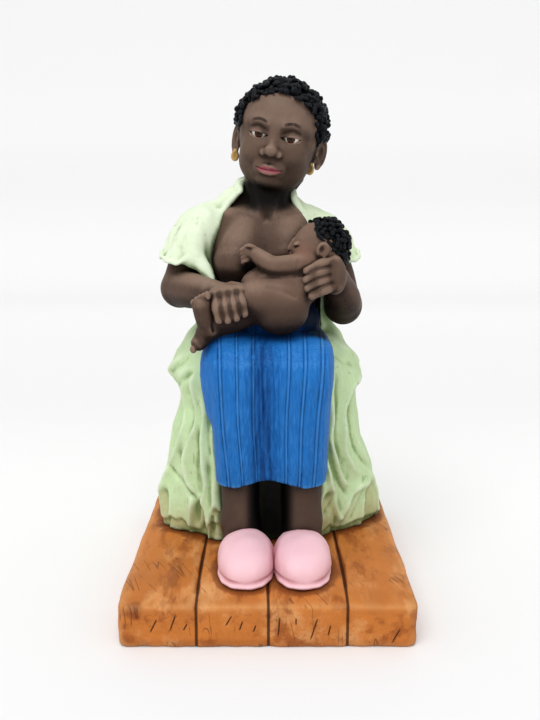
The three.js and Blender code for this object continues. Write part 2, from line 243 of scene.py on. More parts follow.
def prism(outline, yLow, yHigh):      # an outline in x and z, drawn out along y
    outline = np.array(outline, float)
    ends = np.roll(outline, -1, axis=0)

    def measure(points):
        spot = points[:, [0, 2]]
        nearest = np.full(len(points), endless)
        inside = np.zeros(len(points), bool)
        for a, b in zip(outline, ends):
            along = b - a
            q = spot - a
            t = np.clip(q @ along / (along @ along), 0, 1)
            q = q - t[:, None] * along
            np.minimum(nearest, np.einsum("ij,ij->i", q, q), out=nearest)
            crossed = (a[1] > spot[:, 1]) != (b[1] > spot[:, 1])
            if a[1] != b[1]:
                inside ^= crossed & (spot[:, 0] < a[0] + (spot[:, 1] - a[1]) / (b[1] - a[1]) * along[0])
        d = np.sqrt(nearest) * np.where(inside, -1, 1)
        return np.maximum(d, np.maximum(yLow - points[:, 1], points[:, 1] - yHigh))
    low, high = outline.min(0), outline.max(0)
    return measure, np.array([low[0], yLow, low[1]]), np.array([high[0], yHigh, high[1]])


def easedRows(rows, height):
    rows = np.array(rows, float)
    row = np.clip(np.searchsorted(rows[:, 0], height, side="right") - 1, 0, len(rows) - 2)
    low, high = rows[row], rows[row + 1]
    t = np.clip((height - low[:, 0]) / (high[:, 0] - low[:, 0]), 0, 1)
    ease = (0.5 * t + 0.5 * t * t * (3 - 2 * t))[:, None]
    return low[:, 1:] + (high[:, 1:] - low[:, 1:]) * ease


def signedPower(value, power):
    return np.sign(value) * np.abs(value) ** power


class Stack:      # ovals one above another: height, middle x, middle y, left, right, front, back
    def __init__(self, rows, base, power=2.2, middle=None, soften=6.0, caps=(1.0, 1.0), fold=None):
        rows = [list(row[:1]) + list(middle) + list(row[1:]) if middle else list(row) for row in rows]
        self.base, self.power, self.caps, self.fold = base, power, caps, fold
        self.bottom, self.top = rows[0][0], rows[-1][0]
        self.heights = np.arange(self.bottom, self.top + 0.25, 0.5)
        table = easedRows(rows, self.heights)
        wide = int(soften / 0.5) | 1
        edge = np.pad(table, ((wide // 2, wide // 2), (0, 0)), mode="edge")
        self.table = np.stack([np.convolve(column, np.ones(wide) / wide, "valid") for column in edge.T])

    def sides(self, height):
        return [np.interp(height, self.heights, column) for column in self.table]

    def ratio(self, points, height):
        middleX, middleY, left, right, front, back = self.sides(height)
        x, y = points[:, 0] - middleX, points[:, 1] - middleY
        a = np.abs(x) / np.where(x < 0, left, right)
        b = np.abs(y) / np.where(y < 0, front, back)
        f = np.maximum((a ** self.power + b ** self.power) ** (1 / self.power), 1e-4)
        return x, y, a, b, f, np.hypot(x, y)

    def angle(self, x, y, a, b):        # round the stack, even along its ovals
        return np.arctan2(signedPower(b, self.power / 2) * np.sign(y),
                          signedPower(a, self.power / 2) * np.sign(x))

    def measure(self, points):
        height = points[:, 2] - self.base
        x, y, a, b, f, r = self.ratio(points, height)
        slope = (r / self.ratio(points, height + 0.8)[4] - r / f) / 0.8
        d = r - r / f
        if self.fold:
            d = d - self.fold(self.angle(x, y, a, b), height, x, y)
        d = d / np.sqrt(1 + np.minimum(slope * slope, 16))
        d = -smoothMin(-d, -(height - self.top), self.caps[1])
        return -smoothMin(-d, -(self.bottom - height), self.caps[0])

    def shape(self, extra=4.0):
        cx, cy, left, right, front, back = self.table
        low = np.array([(cx - left).min() - extra, (cy - front).min() - extra, self.base + self.bottom - 1])
        high = np.array([(cx + right).max() + extra, (cy + back).max() + extra, self.base + self.top + 1])
        return self.measure, low, high


jitter = np.random.default_rng(7).random((16, 16, 16, 3))      # where each knot of hair lies


def ripple(points, size, seed=0):     # slow, smooth, uneven waves between -1 and 1
    turns = np.random.default_rng(100 + seed)
    total, waves = np.zeros(len(points)), 5
    for _ in range(waves):
        way = turns.normal(size=3)
        way = way / np.linalg.norm(way) * (2 * math.pi / size) * turns.uniform(0.6, 1.4)
        total += np.sin(points @ way + turns.uniform(0, 6.28))
    return total / waves * 1.6


# Skin: the surface of the clay as an even net of four-sided faces

corners = np.array([(i >> 2 & 1, i >> 1 & 1, i & 1) for i in range(8)])
edges = [(a, b) for a in range(8) for b in range(a + 1, 8) if abs(corners[a] - corners[b]).sum() == 1]
blockCells = 4        # the skin is looked for in blocks of this many cells each way
crumbShare = 0.2      # a loose bit below this share of the largest is dropped


def fineField(clay, step):
    block = blockCells * step
    low = clay.low - 1.5 * block
    counts = np.ceil((clay.high + 1.5 * block - low) / block).astype(int)
    blocks = np.indices(counts).reshape(3, -1).T
    middle = clay.distance(low + (blocks + 0.5) * block)
    field = middle.reshape(counts)
    for axis in range(3):
        field = np.repeat(field, blockCells, axis)
    active = blocks[np.abs(middle) < block * 1.35]
    inner = np.indices((blockCells,) * 3).reshape(3, -1).T
    spots = (active[:, None] * blockCells + inner[None]).reshape(-1, 3)
    field[spots[:, 0], spots[:, 1], spots[:, 2]] = clay.distance(low + spots * step)
    return low, field


def faceNet(low, field, step):
    inside = field < 0
    total = sum(inside[c[0]:inside.shape[0] - 1 + c[0], c[1]:inside.shape[1] - 1 + c[1],
                       c[2]:inside.shape[2] - 1 + c[2]].astype(np.uint8) for c in corners)
    cells = np.argwhere((total > 0) & (total < 8))
    values = [field[tuple((cells + c).T)] for c in corners]
    spot = np.zeros((len(cells), 3))
    count = np.zeros(len(cells))
    for a, b in edges:
        crossed = (values[a] < 0) != (values[b] < 0)
        t = np.where(crossed, values[a] / np.where(crossed, values[a] - values[b], 1), 0)
        spot += crossed[:, None] * (corners[a] + t[:, None] * (corners[b] - corners[a]))
        count += crossed
    points = low + (cells + spot / count[:, None]) * step
    number = np.full(total.shape, -1)
    number[tuple(cells.T)] = np.arange(len(cells))
    faces = []
    for axis in range(3):
        u, v = (axis + 1) % 3, (axis + 2) % 3
        first = [slice(None)] * 3
        second = [slice(None)] * 3
        first[axis], second[axis] = slice(0, -1), slice(1, None)
        one, two = inside[tuple(first)], inside[tuple(second)]
        for start, end, flip in ((one, ~two, False), (~one, two, True)):
            at = np.argwhere(start & end)
            at = at[(at[:, u] > 0) & (at[:, v] > 0) & (at[:, u] < inside.shape[u] - 1)
                    & (at[:, v] < inside.shape[v] - 1)]
            back = np.eye(3, dtype=int)
            ring = [at - back[u] - back[v], at - back[v], at, at - back[u]]
            quad = np.stack([number[tuple(c.T)] for c in ring], axis=1)
            faces.append(quad[:, ::-1] if flip else quad)
    return points, np.concatenate(faces)


def mainSkins(points, faces):       # drops pockets and crumbs
    label = np.arange(len(points))
    for _ in range(200):
        lowest = label[faces].min(1)
        before = label.copy()
        np.minimum.at(label, faces.ravel(), np.repeat(lowest, 4))
        label = label[label]
        if np.array_equal(label, before):
            break
    names, sizes = np.unique(label[faces[:, 0]], return_counts=True)
    kept = np.isin(label[faces[:, 0]], names[sizes > sizes.max() * crumbShare])
    faces = faces[kept]
    used = np.unique(faces)
    renumber = np.full(len(points), -1)
    renumber[used] = np.arange(len(used))
    return points[used], renumber[faces]


def neighbourMean(values, faces, count):
    here, following = faces.ravel(), faces[:, [1, 2, 3, 0]].ravel()
    ends = np.concatenate([here, following])
    others = np.concatenate([following, here])
    share = np.bincount(ends, minlength=count)
    values = values.reshape(count, -1)
    mean = np.stack([np.bincount(ends, values[others, k], count) for k in range(values.shape[1])], 1)
    return mean / np.maximum(share, 1)[:, None]


def skinNormals(points, faces):
    a, b, c, d = (points[faces[:, k]] for k in range(4))
    across = np.cross(c - a, d - b)
    total = np.stack([np.bincount(faces.ravel(), np.repeat(across[:, k], 4), len(points))
                      for k in range(3)], 1)
    return total / np.maximum(np.linalg.norm(total, axis=1), 1e-12)[:, None]


probes = np.array([(1, -1, -1), (-1, -1, 1), (-1, 1, -1), (1, 1, 1)], float)


def settle(clay, points, step):       # moves the net onto the true surface
    reach = 0.4 * step
    values = [clay.distance(points + way * reach) for way in probes]
    slope = sum(value[:, None] * way for value, way in zip(values, probes)) / (4 * reach)
    steep = np.maximum(np.linalg.norm(slope, axis=1), 0.3)
    move = np.clip(sum(values) / 4 / steep, -step, step)
    return points - move[:, None] * slope / steep[:, None]


def skinOf(clay, step):
    step = step * coarser
    low, field = fineField(clay, step)
    points, faces = faceNet(low, field, step)
    points, faces = mainSkins(points, faces)
    for _ in range(2):
        points = 0.5 * points + 0.5 * neighbourMean(points, faces, len(points))
        points = settle(clay, points, step)
    return points, faces, step


# The base: one slab, grooved and scored to look like four boards

baseForm = {
    "size": (132.0, 151.6, 21.0),
    "rounding": 3.8,
    "grooves": (-31.5, 0.4, 35.1),
    "grooveWidth": 0.7,
    "grooveDepth": 1.8,
    "cuts": [      # across and up, lower end first
        (-51.8, 6.7, -48.3, 13.8), (-43.1, 7.1, -40.0, 16.2), (-37.0, 8.1, -35.2, 11.4),
        (-18.6, 10.0, -15.5, 15.3), (-12.5, 8.1, -10.7, 12.9), (-6.3, 7.1, -5.0, 11.0),
        (4.6, 4.3, 5.5, 15.3), (12.5, 10.5, 12.5, 14.3), (18.6, 2.8, 22.1, 14.3),
        (26.5, 5.2, 27.8, 11.0), (54.5, 1.4, 58.4, 9.5)],
    "knot": (-58.5, -74.5, 17.0),
    "step": 1.1,
}


def baseClay():
    wide, deep, high = baseForm["size"]
    clay = Clay().add(brick((0, 0, high / 2), (wide / 2, deep / 2, high), baseForm["rounding"]))
    clay.cut(slab((0, 0, high), (0, 0, -1)), 1.3).cut(slab((0, 0, 0), (0, 0, 1)), 1.6)
    clay.cut(slab((0, -65, high), (0, 0.16, -1)), 1.5)          # the front edge is worn down a little
    bottom = high + 0.35 - baseForm["grooveDepth"] / 2
    for x in baseForm["grooves"]:
        bend = [(x + 0.5 * math.sin(y / 21 + x), y, bottom, baseForm["grooveWidth"])
                for y in np.linspace(-78, 78, 14)]
        clay.cut(limb(bend, 2), 0.4)
        for side in (-1, 1):
            out, deeper = side * (deep / 2 + 0.1), side * (deep / 2 - 0.1)
            clay.cut(limb([(x, out, high + 2, 0.85), (x + 0.3, deeper, 11, 0.8), (x, out, -2, 0.7)], 4), 0.4)
    for side in (-1, 1):        # slanting tool cuts on the boards' ends
        out = side * (deep / 2 + 0.3)
        for x, z, endX, endZ in baseForm["cuts"]:
            clay.cut(limb([(x, out, z, 0.4), (endX, out, endZ, 0.5)], 1), 0.5)
    clay.raiseBy(lambda points: 0.22 * ripple(points * (1.2, 0.35, 1.0), 9.0, 31)      # worn wood
                 + 0.13 * ripple(points * (1.6, 0.16, 1.0), 3.4, 32))
    clay.cut(slab((0, 0, 0), (0, 0, 1)), 0.2)
    return clay


# The robe: a wide skirt over a hidden stool, a bodice that stands open, and two sleeves

robeForm = {
    "skirt": [      # height above the boards, left, right, front, back
        (0, 59.5, 60.5, 45, 41), (12, 58, 60.5, 46, 40), (32, 54.2, 55, 46, 38), (52, 50.8, 48.5, 46, 36),
        (68, 45.5, 46, 44.8, 34.5), (76, 48, 47.2, 44.8, 35.2), (84, 52, 48.5, 44, 36.3),
        (91, 50, 46, 41, 36), (98, 46, 41.5, 34, 34), (106, 42, 38, 24, 32)],
    "bodice": [
        (100, 40, 36, 18, 32), (112, 38, 34, 22, 28), (130, 37, 34, 26, 25), (146, 37, 34, 27, 23),
        (158, 36, 32, 23, 21), (166, 32, 27, 18, 18), (172, 28, 18, 14, 15), (177, 23.5, 13, 12, 12),
        (181, 18, 10, 10, 10), (182.5, 13, 6, 7, 7)],
    "waves": [(9, 20, 0.5), (14, 75, 0.3), (23, 130, 0.2)],      # round the robe, turn, share of the depth
    "waveDepth": [(0, 2.2), (30, 1.8), (62, 1.2), (80, 0.7), (90, 0.5), (106, 0.3)],
    "step": 1.0,
}

# Folds of the robe's skirt as angle and height; 0 is the wearer's left, -90 the front
robeForm["folds"] = [      # places, half width, how far out or, below 0, in
    ([(-120, 116), (-128, 104), (-137, 97), (-153, 92), (-168, 86), (-180, 79)], 4.6, 2.8),
    ([(-152, 85), (-141, 88), (-129, 91)], 2.6, 1.0),
    ([(-140, 90), (-148, 76), (-150, 68), (-147, 58), (-155, 44), (-163, 29), (-164, 16), (-163, -3)],
     2.6, 2.8),
    ([(-128, 94), (-133, 82), (-136, 70), (-135, 60), (-140, 51), (-142, 42), (-138, 30), (-134, 23),
      (-137, 0)], 2.3, 2.4),
    ([(-130, 80), (-128, 67), (-127, 57), (-126, 45), (-123, 33), (-125, 20), (-129, -2)], 2.2, 2.2),
    ([(-123, 66), (-118, 50), (-115, 38), (-115, 26), (-112, 0)], 2.0, 1.6),
    ([(-176, 72), (-184, 50), (-185, 30), (-190, 0)], 3.0, 0.9),
    ([(-56, 114), (-45, 106), (-33, 100), (-16, 95), (-3, 90), (0, 84)], 3.4, 2.8),
    ([(0, 88), (-12, 82), (-28, 79), (-34, 72), (-37, 65), (-37, 57), (-35, 46), (-30, 36), (-15, 24)],
     2.7, 3.0),
    ([(-4, 76), (-14, 63), (-9, 51), (-7, 40), (-5, 20)], 2.4, 1.8),
    ([(-51, 78), (-51, 64), (-54, 55), (-49, 44), (-44, 33), (-38, 27), (-31, 24)], 2.0, 2.2),
    ([(-58, 50), (-58, 37), (-55, 26), (-50, 14), (-45, 8), (-41, 12), (-32, 20), (-22, 23), (-8, 22)],
     2.2, 2.8),
    ([(-62, 60), (-64, 44), (-64, 28), (-68, 2)], 2.0, 1.2),
    ([(5, 74), (8, 52), (6, 32), (3, 0)], 2.8, 2.2),
    ([(18, 102), (24, 84), (20, 60), (23, 36), (18, 0)], 3.0, 2.4),
    ([(38, 110), (42, 88), (37, 66), (42, 40), (37, 0)], 3.2, 2.6),
    ([(58, 110), (55, 84), (60, 58), (56, 30), (60, 0)], 2.8, 2.2),
    ([(76, 112), (80, 88), (75, 60), (80, 34), (76, 0)], 3.2, 2.6),
    ([(97, 112), (94, 82), (99, 56), (93, 28), (97, 0)], 2.8, 2.2),
    ([(116, 110), (120, 86), (115, 62), (120, 36), (116, 0)], 3.2, 2.6),
    ([(137, 108), (134, 84), (139, 58), (134, 30), (139, 0)], 2.8, 2.2),
    ([(158, 102), (153, 80), (159, 54), (154, 28), (158, 0)], 3.0, 2.4),
    ([(-172, 82), (-158, 86), (-146, 91), (-134, 98)], 1.6, -1.5),
    ([(-166, 76), (-152, 79), (-140, 84), (-128, 90)], 1.3, -1.3),
    ([(-158, 80), (-157, 72), (-160, 64), (-161, 52)], 1.6, -1.4),
    ([(-155, 72), (-158, 66), (-160, 58), (-160, 50), (-157, 42)], 1.0, -2.0),
    ([(-137, 66), (-140, 54), (-144, 46), (-150, 36)], 1.0, -2.0),
    ([(-131, 62), (-131, 48), (-132, 38), (-130, 28)], 1.0, -1.8),
    ([(-166, 38), (-157, 32), (-146, 28), (-138, 24), (-130, 19)], 1.1, -2.1),
    ([(-152, 46), (-145, 33), (-140, 26), (-132, 20), (-131, 4)], 1.1, -2.3),
    ([(-122, 46), (-119, 27), (-116, 14), (-117, 0)], 1.1, -2.0),
    ([(-127, 80), (-124, 66), (-121, 54), (-119, 44)], 0.9, -1.5),
    ([(-171, 54), (-170, 40), (-172, 20)], 1.0, -1.4),
    ([(-49, 96), (-40, 94), (-33, 91), (-19, 88)], 2.2, -2.0),
    ([(-46, 92), (-47, 81), (-45, 70), (-46, 60), (-44, 48), (-39, 34)], 2.2, -2.3),
    ([(-26, 84), (-24, 74), (-26, 63), (-24, 52), (-20, 39), (-8, 26)], 1.2, -2.0),
    ([(-55, 56), (-53, 43), (-46, 30), (-34, 18)], 1.2, -1.7),
    ([(-57, 72), (-58, 58), (-61, 44), (-60, 28)], 1.0, -1.4),
    ([(-49, 24), (-54, 19), (-63, 12)], 1.2, -1.5),
    ([(-19, 21), (-26, 13), (-34, 3)], 1.2, -1.5),
    ([(0, 68), (1, 44), (-2, 24), (-2, 4)], 1.1, -1.6),
    ([(31, 102), (30, 70), (31, 40), (29, 8)], 1.3, -2.0),
    ([(49, 94), (48, 64), (50, 34), (48, 6)], 1.2, -1.7),
    ([(68, 104), (67, 70), (69, 36), (67, 8)], 1.3, -2.0),
    ([(87, 98), (88, 66), (86, 36), (88, 6)], 1.2, -1.7),
    ([(107, 104), (107, 70), (108, 38), (106, 8)], 1.3, -2.0),
    ([(127, 96), (127, 66), (126, 36), (128, 6)], 1.2, -1.7),
    ([(148, 98), (146, 66), (147, 36), (148, 6)], 1.3, -1.9),
    ([(167, 90), (166, 60), (168, 30), (166, 6)], 1.2, -1.6),
]
degreeWidth = 0.9      # millimetres of cloth to a degree, about
hemForm = {
    "openings": [      # angle, half width and height of the places where the hem turns out its lining
        (-161, 7, 21), (-128, 8, 20), (-113, 5, 19), (-58, 11, 26), (-13, 9, 24), (44, 7, 8), (97, 11, 7),
        (134, 6, 11)],
    "openingDepth": 1.7,
    "openingRim": 0.8,
    "corners": [(-42, 20, 11.5), (-131, 13, 6.5)],      # angle, spread and depth drawn back at the floor
    "edge": [          # angle and height of the edge; the lining shows below it
        (-180, 3.0), (-167, 6.5), (-160, 3.5), (-153, 7.5), (-148, 6.0), (-144, 8.0), (-136, 3.0),
        (-130, 2.5), (-124, 9.0), (-121, 5.0), (-118, 9.5), (-113, 10.5), (-109, 8.5), (-100, 3.0),
        (-62, 3.0), (-55, 6.5), (-50, 3.0), (-40, 2.2), (-34, 3.0), (-24, 4.2), (-12, 3.0), (0, 2.0),
        (30, 3.4), (60, 2.0), (90, 3.6), (120, 2.2), (150, 3.4), (180, 3.0)],
    "tuck": 1.5,
}


def robeWaves(angle, height, x, y):
    depth = np.interp(height, *np.array(robeForm["waveDepth"]).T)
    total = sum(share * np.cos(waves * (angle + height * 0.004) + math.radians(turn))
                for waves, turn, share in robeForm["waves"])
    tuck = hemForm["tuck"] * smoothStep(0.8, -0.8, height - hemHeight(angle))
    degrees = np.degrees(angle)
    for place, spread, drawn in hemForm["corners"]:
        tuck = tuck + drawn * np.exp(-((degrees - place) / spread) ** 2) * smoothStep(72, 8, height)
    open, rim = hemOpened(degrees, height)
    turned = depth * total - tuck - hemForm["openingDepth"] * open + hemForm["openingRim"] * rim
    return turned + foldedOut(degrees, height)


def foldedOut(degrees, height):        # how far the drawn folds move the cloth
    total = np.zeros(len(degrees))
    half = 180 * degreeWidth
    for places, wide, out in robeForm["folds"]:
        line = smoothPath([(angle * degreeWidth, high) for angle, high in places], 5)
        middle = line[:, 0].mean()
        across = (degrees * degreeWidth - middle + half) % (2 * half) - half + middle
        low, high = line.min(0) - 3 * wide, line.max(0) + 3 * wide
        near = np.flatnonzero((across > low[0]) & (across < high[0])
                              & (height > low[1]) & (height < high[1]))
        if not len(near):
            continue
        spots = np.stack([across[near], height[near]], 1)
        best, run = np.full(len(near), 99.0), np.zeros(len(near))
        for n, (start, end) in enumerate(zip(line, line[1:])):
            way = end - start
            t = np.clip((spots - start) @ way / (way @ way), 0, 1)
            gap = np.hypot(*(spots - start - t[:, None] * way).T)
            closer = gap < best
            best[closer], run[closer] = gap[closer], (n + t[closer]) / (len(line) - 1)
        ends = smoothStep(-0.02, 0.16, run) * smoothStep(1.02, 0.84, run)
        power = 1.5 if out > 0 else 1.25
        total[near] += out * ends * np.exp(-(best / wide) ** power)
    return total


def hemOpened(degrees, height):
    open, rim = 0, 0
    for place, wide, high in hemForm["openings"]:
        q = np.sqrt(((degrees - place) / wide) ** 2 + (np.maximum(height, 0) / high) ** 2)
        open = np.maximum(open, smoothStep(1.08, 0.9, q))
        rim = np.maximum(rim, np.exp(-((q - 1.12) / 0.13) ** 2))
    return open, rim


def hemHeight(angle):
    return np.interp(np.degrees(angle), *np.array(hemForm["edge"]).T)


robeLower = Stack(robeForm["skirt"], floor, power=2.5, middle=(0, 28), caps=(0.6, 5.0), fold=robeWaves)
robeUpper = Stack(robeForm["bodice"], boards, power=2.3, middle=(0, 26), soften=5, caps=(1.0, 2.0))


def onBodice(places, radius, out):      # x and height above the boards, on the front
    stations = []
    for x, height in places:
        _, middleY, left, right, front, _ = robeUpper.sides(height)
        across = min(abs(x) / (left if x < 0 else right), 0.999)
        y = middleY - front * (1 - across ** robeUpper.power) ** (1 / robeUpper.power)
        stations.append((x, y + radius - out, boards + height, radius))
    return limb(stations, 4)


robeOpening = {        # x and height above the boards
    "left": [(-9, 192), (-11.8, 184), (-17.0, 176), (-23.0, 167), (-27.0, 157), (-29.2, 147), (-29, 139),
             (-27.0, 131), (-25, 112), (-25, 86)],
    "right": [(27, 86), (27, 112), (26.8, 134), (26, 145), (23, 154), (18.6, 162), (14.6, 169), (11.4, 178),
              (9, 192)],
    "lapels": [[(-12, 183), (-16, 176.5), (-21.6, 168.5), (-26.2, 158), (-29.4, 147.5), (-29.4, 139),
                (-27, 131), (-26, 120)],
               [(12, 176), (15.5, 168.5), (19.8, 161), (24, 153), (27, 145), (27.6, 134)]],
    "lapelRadius": 1.3,
    "lapelOut": 0.5,
}
sleeveForm = {       # height above the boards, middle x, middle y, half width, half depth
    "right": [(141, -44.6, 14.5, 9.9, 14.8), (146, -43.6, 15.5, 9.6, 14.2), (155, -40.2, 19, 11, 14),
              (164, -35.5, 22, 10.5, 12.5), (169, -32, 24, 8, 9), (172, -29, 25, 4, 5)],
    "left": [(141, 37.0, 14.5, 9.5, 14.2), (146, 36.2, 15.5, 9.1, 13.6), (155, 32.6, 19, 10.3, 13.5),
             (163, 26.6, 22, 10.2, 12), (167, 22.8, 24, 8, 9), (170, 19.5, 25, 4, 5)],
    "armholes": {"right": [(-39.5, 20, 176, 7.8), (-43.4, 15, 160, 8.8), (-45, 13.5, 150, 9.3)],
                 "left": [(31.5, 21, 176, 7.4), (35.4, 16.5, 160, 8.5), (39, 13, 146, 9.1)]},
    "cuffCut": 144.8,        # height above the boards
    "cuffRim": 145.7,
    "cuffDip": 0.22,
    "cuffRoll": 1.0,
}


def sleeveClay(side):
    rows = [(height, x, y, wide, wide, deep, deep) for height, x, y, wide, deep in sleeveForm[side]]
    _, middleX, middleY, wide, _, deep, _ = rows[0]

    def pleats(angle, height, x, y):        # fine drags down the sleeve
        broad = np.sin(11 * angle + 0.05 * height + 1) * 0.3
        fine = np.sin(17 * angle + 0.02 * height * height / 9) * 0.22
        return (broad + fine) * smoothStep(168, 156, height)
    form = Stack(rows, boards, power=2.1, soften=4, caps=(0.5, 3.0), fold=pleats)
    clay = Clay().add(form.shape())
    dip = sleeveForm["cuffDip"]
    clay.cut(slab((middleX, middleY, boards + sleeveForm["cuffCut"]), (0, -dip, 1)), 0.6)
    rim = []                                # the cuff's rolled and ragged edge
    for degrees in range(-180, 181, 12):
        angle = math.radians(degrees)
        lift = 0.6 * math.sin(5 * angle + 1) + 0.5 * math.sin(9 * angle)
        x, y = middleX + math.cos(angle) * (wide + 0.1), middleY + math.sin(angle) * (deep + 0.1)
        z = boards + sleeveForm["cuffRim"] + dip * (y - middleY) + lift
        rim.append((x, y, z, sleeveForm["cuffRoll"]))
    clay.add(limb(rim, 2), 1.2)
    clay.cut(limb(sleeveForm["armholes"][side], 2), 0.6)
    return clay


def robeClay():
    skirtPart = Clay().add(robeLower.shape(6))
    skirtPart.cut(brick((1.6, -32, 50), (25, 22, 34), 4), 3.0)       # room for the skirt and the feet
    bodice = Clay().add(robeUpper.shape())
    for places in ([(20, 49, 128, 5), (12, 46, 160, 4.5), (4, 44, 186, 4)],       # folds down the back
                   [(-22, 48, 140, 5), (-20, 44, 168, 4.5), (-14, 40, 190, 4)],
                   [(-4, 50.5, 142, 4.6), (-4, 46, 165, 4.4), (-3, 40, 190, 4)]):
        bodice.add(limb([(x, y - radius * 0.9, z, radius) for x, y, z, radius in places], 4), 4.0)
    outline = [smoothPath([(x, boards + height) for x, height in robeOpening[side]], 4)
               for side in ("left", "right")]
    bodice.cut(prism(np.vstack(outline), -70, 22), 1.2)
    for places in robeOpening["lapels"]:
        bodice.add(onBodice(places, robeOpening["lapelRadius"], robeOpening["lapelOut"]), 1.6)
    collar = [(-17.6, 14.9, 194.2, 0.9), (-15.6, 14.7, 196.4, 1.2), (-13.6, 15.0, 198.7, 1.4),
              (-15.4, 22, 202, 1.7), (-10, 32, 204.5, 2.0), (-1, 36, 205, 2.0), (8, 32, 203.5, 2.0),
              (12.8, 23, 200, 1.7), (13.0, 16.6, 195.8, 1.4), (14.6, 15.6, 192.6, 1.2),
              (16.6, 13.9, 189.6, 0.9)]
    bodice.add(limb(collar, 4), 2.2)
    robe = Clay().add(skirtPart.shape(), 0).add(bodice.shape(), 4.0)
    for side in ("right", "left"):
        robe.add(sleeveClay(side).shape(3), 3.0)
    # soft fall between sleeve and front, the folded lapel and a few drags towards the lap
    for places, radius, depth in [
            ([(-30.5, 168), (-32.4, 161), (-33, 152), (-32, 145)], 2.6, 1.2),
            ([(-38.5, 164), (-41, 156), (-43.5, 149)], 2.2, 1.3),
            ([(-45.5, 160), (-48.5, 154), (-50.5, 149)], 1.6, 1.0),
            ([(-35, 167), (-36.8, 159), (-38, 151)], 1.5, 0.8),
            ([(33.5, 160), (37, 153), (39, 149)], 2.2, 0.9),
            ([(27.5, 164), (30.5, 155), (31, 146)], 2.4, 1.2)]:
        robe.cut(robe.drawn(places, radius, -depth + 2 * radius), 2.4)
    robe.add(egg((-26, 22, 186.5), (6.5, 7, 5)), 4.0)
    # the cloth that lies over the forearm between the sleeve and the front
    robe.add(limb([(-31, 14, 184, 6), (-35.5, 9, 174, 6), (-36, 4.5, 167, 5.2), (-33, 1.0, 162.5, 4.0),
                   (-29.8, -1.5, 158.5, 3.0), (-27.6, -4.0, 155.2, 2.0)], 4), 5.0)
    robe.raiseBy(lambda points: 0.3 * ripple(points * (1, 1, 0.3), 6.0, 41) + 0.12 * ripple(points, 3.0, 42))
    robe.cut(slab((0, 0, floor), (0, 0, 1)), 0.3)
    return robe


skirtForm = {
    "rows": [        # height above the boards, left, right, front, back
        (37.6, 27.6, 27.8, 31, 20), (54, 28.2, 28.4, 33.5, 20), (74, 29.8, 29.4, 36, 24),
        (90, 31.5, 30.6, 37, 28), (98, 31.5, 30.5, 36, 30), (104, 30, 29.5, 31, 30),
        (107.5, 27, 27, 24, 28), (110, 22, 22, 12, 26)],
    "middle": (1.5, -6),
    "seams": (-0.80, -0.745, -0.535, -0.495, -0.29, -0.245, 0.235, 0.285, 0.475, 0.53, 0.735, 0.80),
    "halfWidth": 29,
    "seamWidth": 0.5,
    "seamDepth": 0.6,
    "valleyDepth": 5.6,      # between the knees
    "step": 0.70,
}


def skirtShare(x, height):          # how far across the skirt, -1 to 1
    return (x + 0.3 * np.sin(height / 9)) / (26.3 + (height - 38) * 0.075)


def skirtDrape(angle, height, x, y):
    front = smoothStep(2, -6, y)
    valley = skirtForm["valleyDepth"] * np.exp(-((x + 2) ** 2) / 60) * (y < 0)
    share, half = skirtShare(x, height), skirtForm["halfWidth"]
    seams = sum(np.exp(-((share - place) * half / skirtForm["seamWidth"]) ** 2)
                for place in skirtForm["seams"])
    spots = np.stack([x * 3.4, y * 0.6, height * 0.32], 1)
    threads = ripple(spots, 7.0, 3) * (0.16 + 0.34 * np.exp(-((x + 1) / 8) ** 2) + 0.08 * (x > 8))
    swell = 0.5 * ripple(np.stack([x, y, height * 0.5], 1), 17.0, 4)
    return front * (-valley - skirtForm["seamDepth"] * seams + threads + swell)


def skirtClay():
    form = Stack(skirtForm["rows"], boards, power=4.4, middle=skirtForm["middle"], soften=4,
                 caps=(1.2, 3.5), fold=skirtDrape)
    clay = Clay().add(form.shape(2))
    clay.add(egg((1, 4, 135), (25, 18, 16)), 6.0)
    clay.add(limb([(-21, -20, 124, 9.5), (-24, -24, 112, 8), (-22.5, -24, 96, 7)], 3), 5.0)
    clay.cut(egg((1.0, -36, 57.2), (14, 24, 3.6)), 3.0)
    clay.cut(slab((0, 12, 0), (0, -1, 0)), 0.5)
    hollow = Stack([(32, 23, 23, 23, 17.5), (41, 23, 23, 23, 17.5)], boards, power=2.6,
                   middle=skirtForm["middle"], soften=2, caps=(0.5, 3.0))
    clay.cut(hollow.shape(1), 0.6)
    # drags across the lap and above the knees
    for places, radius, depth in [
            ([(-22, 84.0), (-23, 76), (-22, 68)], 2.4, 0.3),
            ([(20, 86), (22, 78), (21, 70)], 2.4, 0.3)]:
        clay.cut(clay.drawn(places, radius, -depth + 2 * radius), 1.8)
    return clay


def skirtMarks(points):             # the painter's dark valley and the incised seams
    x, height = points[:, 0] - 1.5, points[:, 2] - boards
    streak = ripple(points * (3.0, 0.5, 0.3), 7.0, 61)
    valley = np.exp(-((x + 3.5 + 0.02 * (height - 60)) / 5.5) ** 2) * (0.75 + 0.35 * streak)
    soot = smoothStep(12, 16, x) * smoothStep(102, 108, height) * smoothStep(-26, -17, points[:, 1])
    return {"valley": np.clip(valley, 0, 1), "across": skirtShare(x, height), "soot": soot}


# Limbs and trunk of the mother

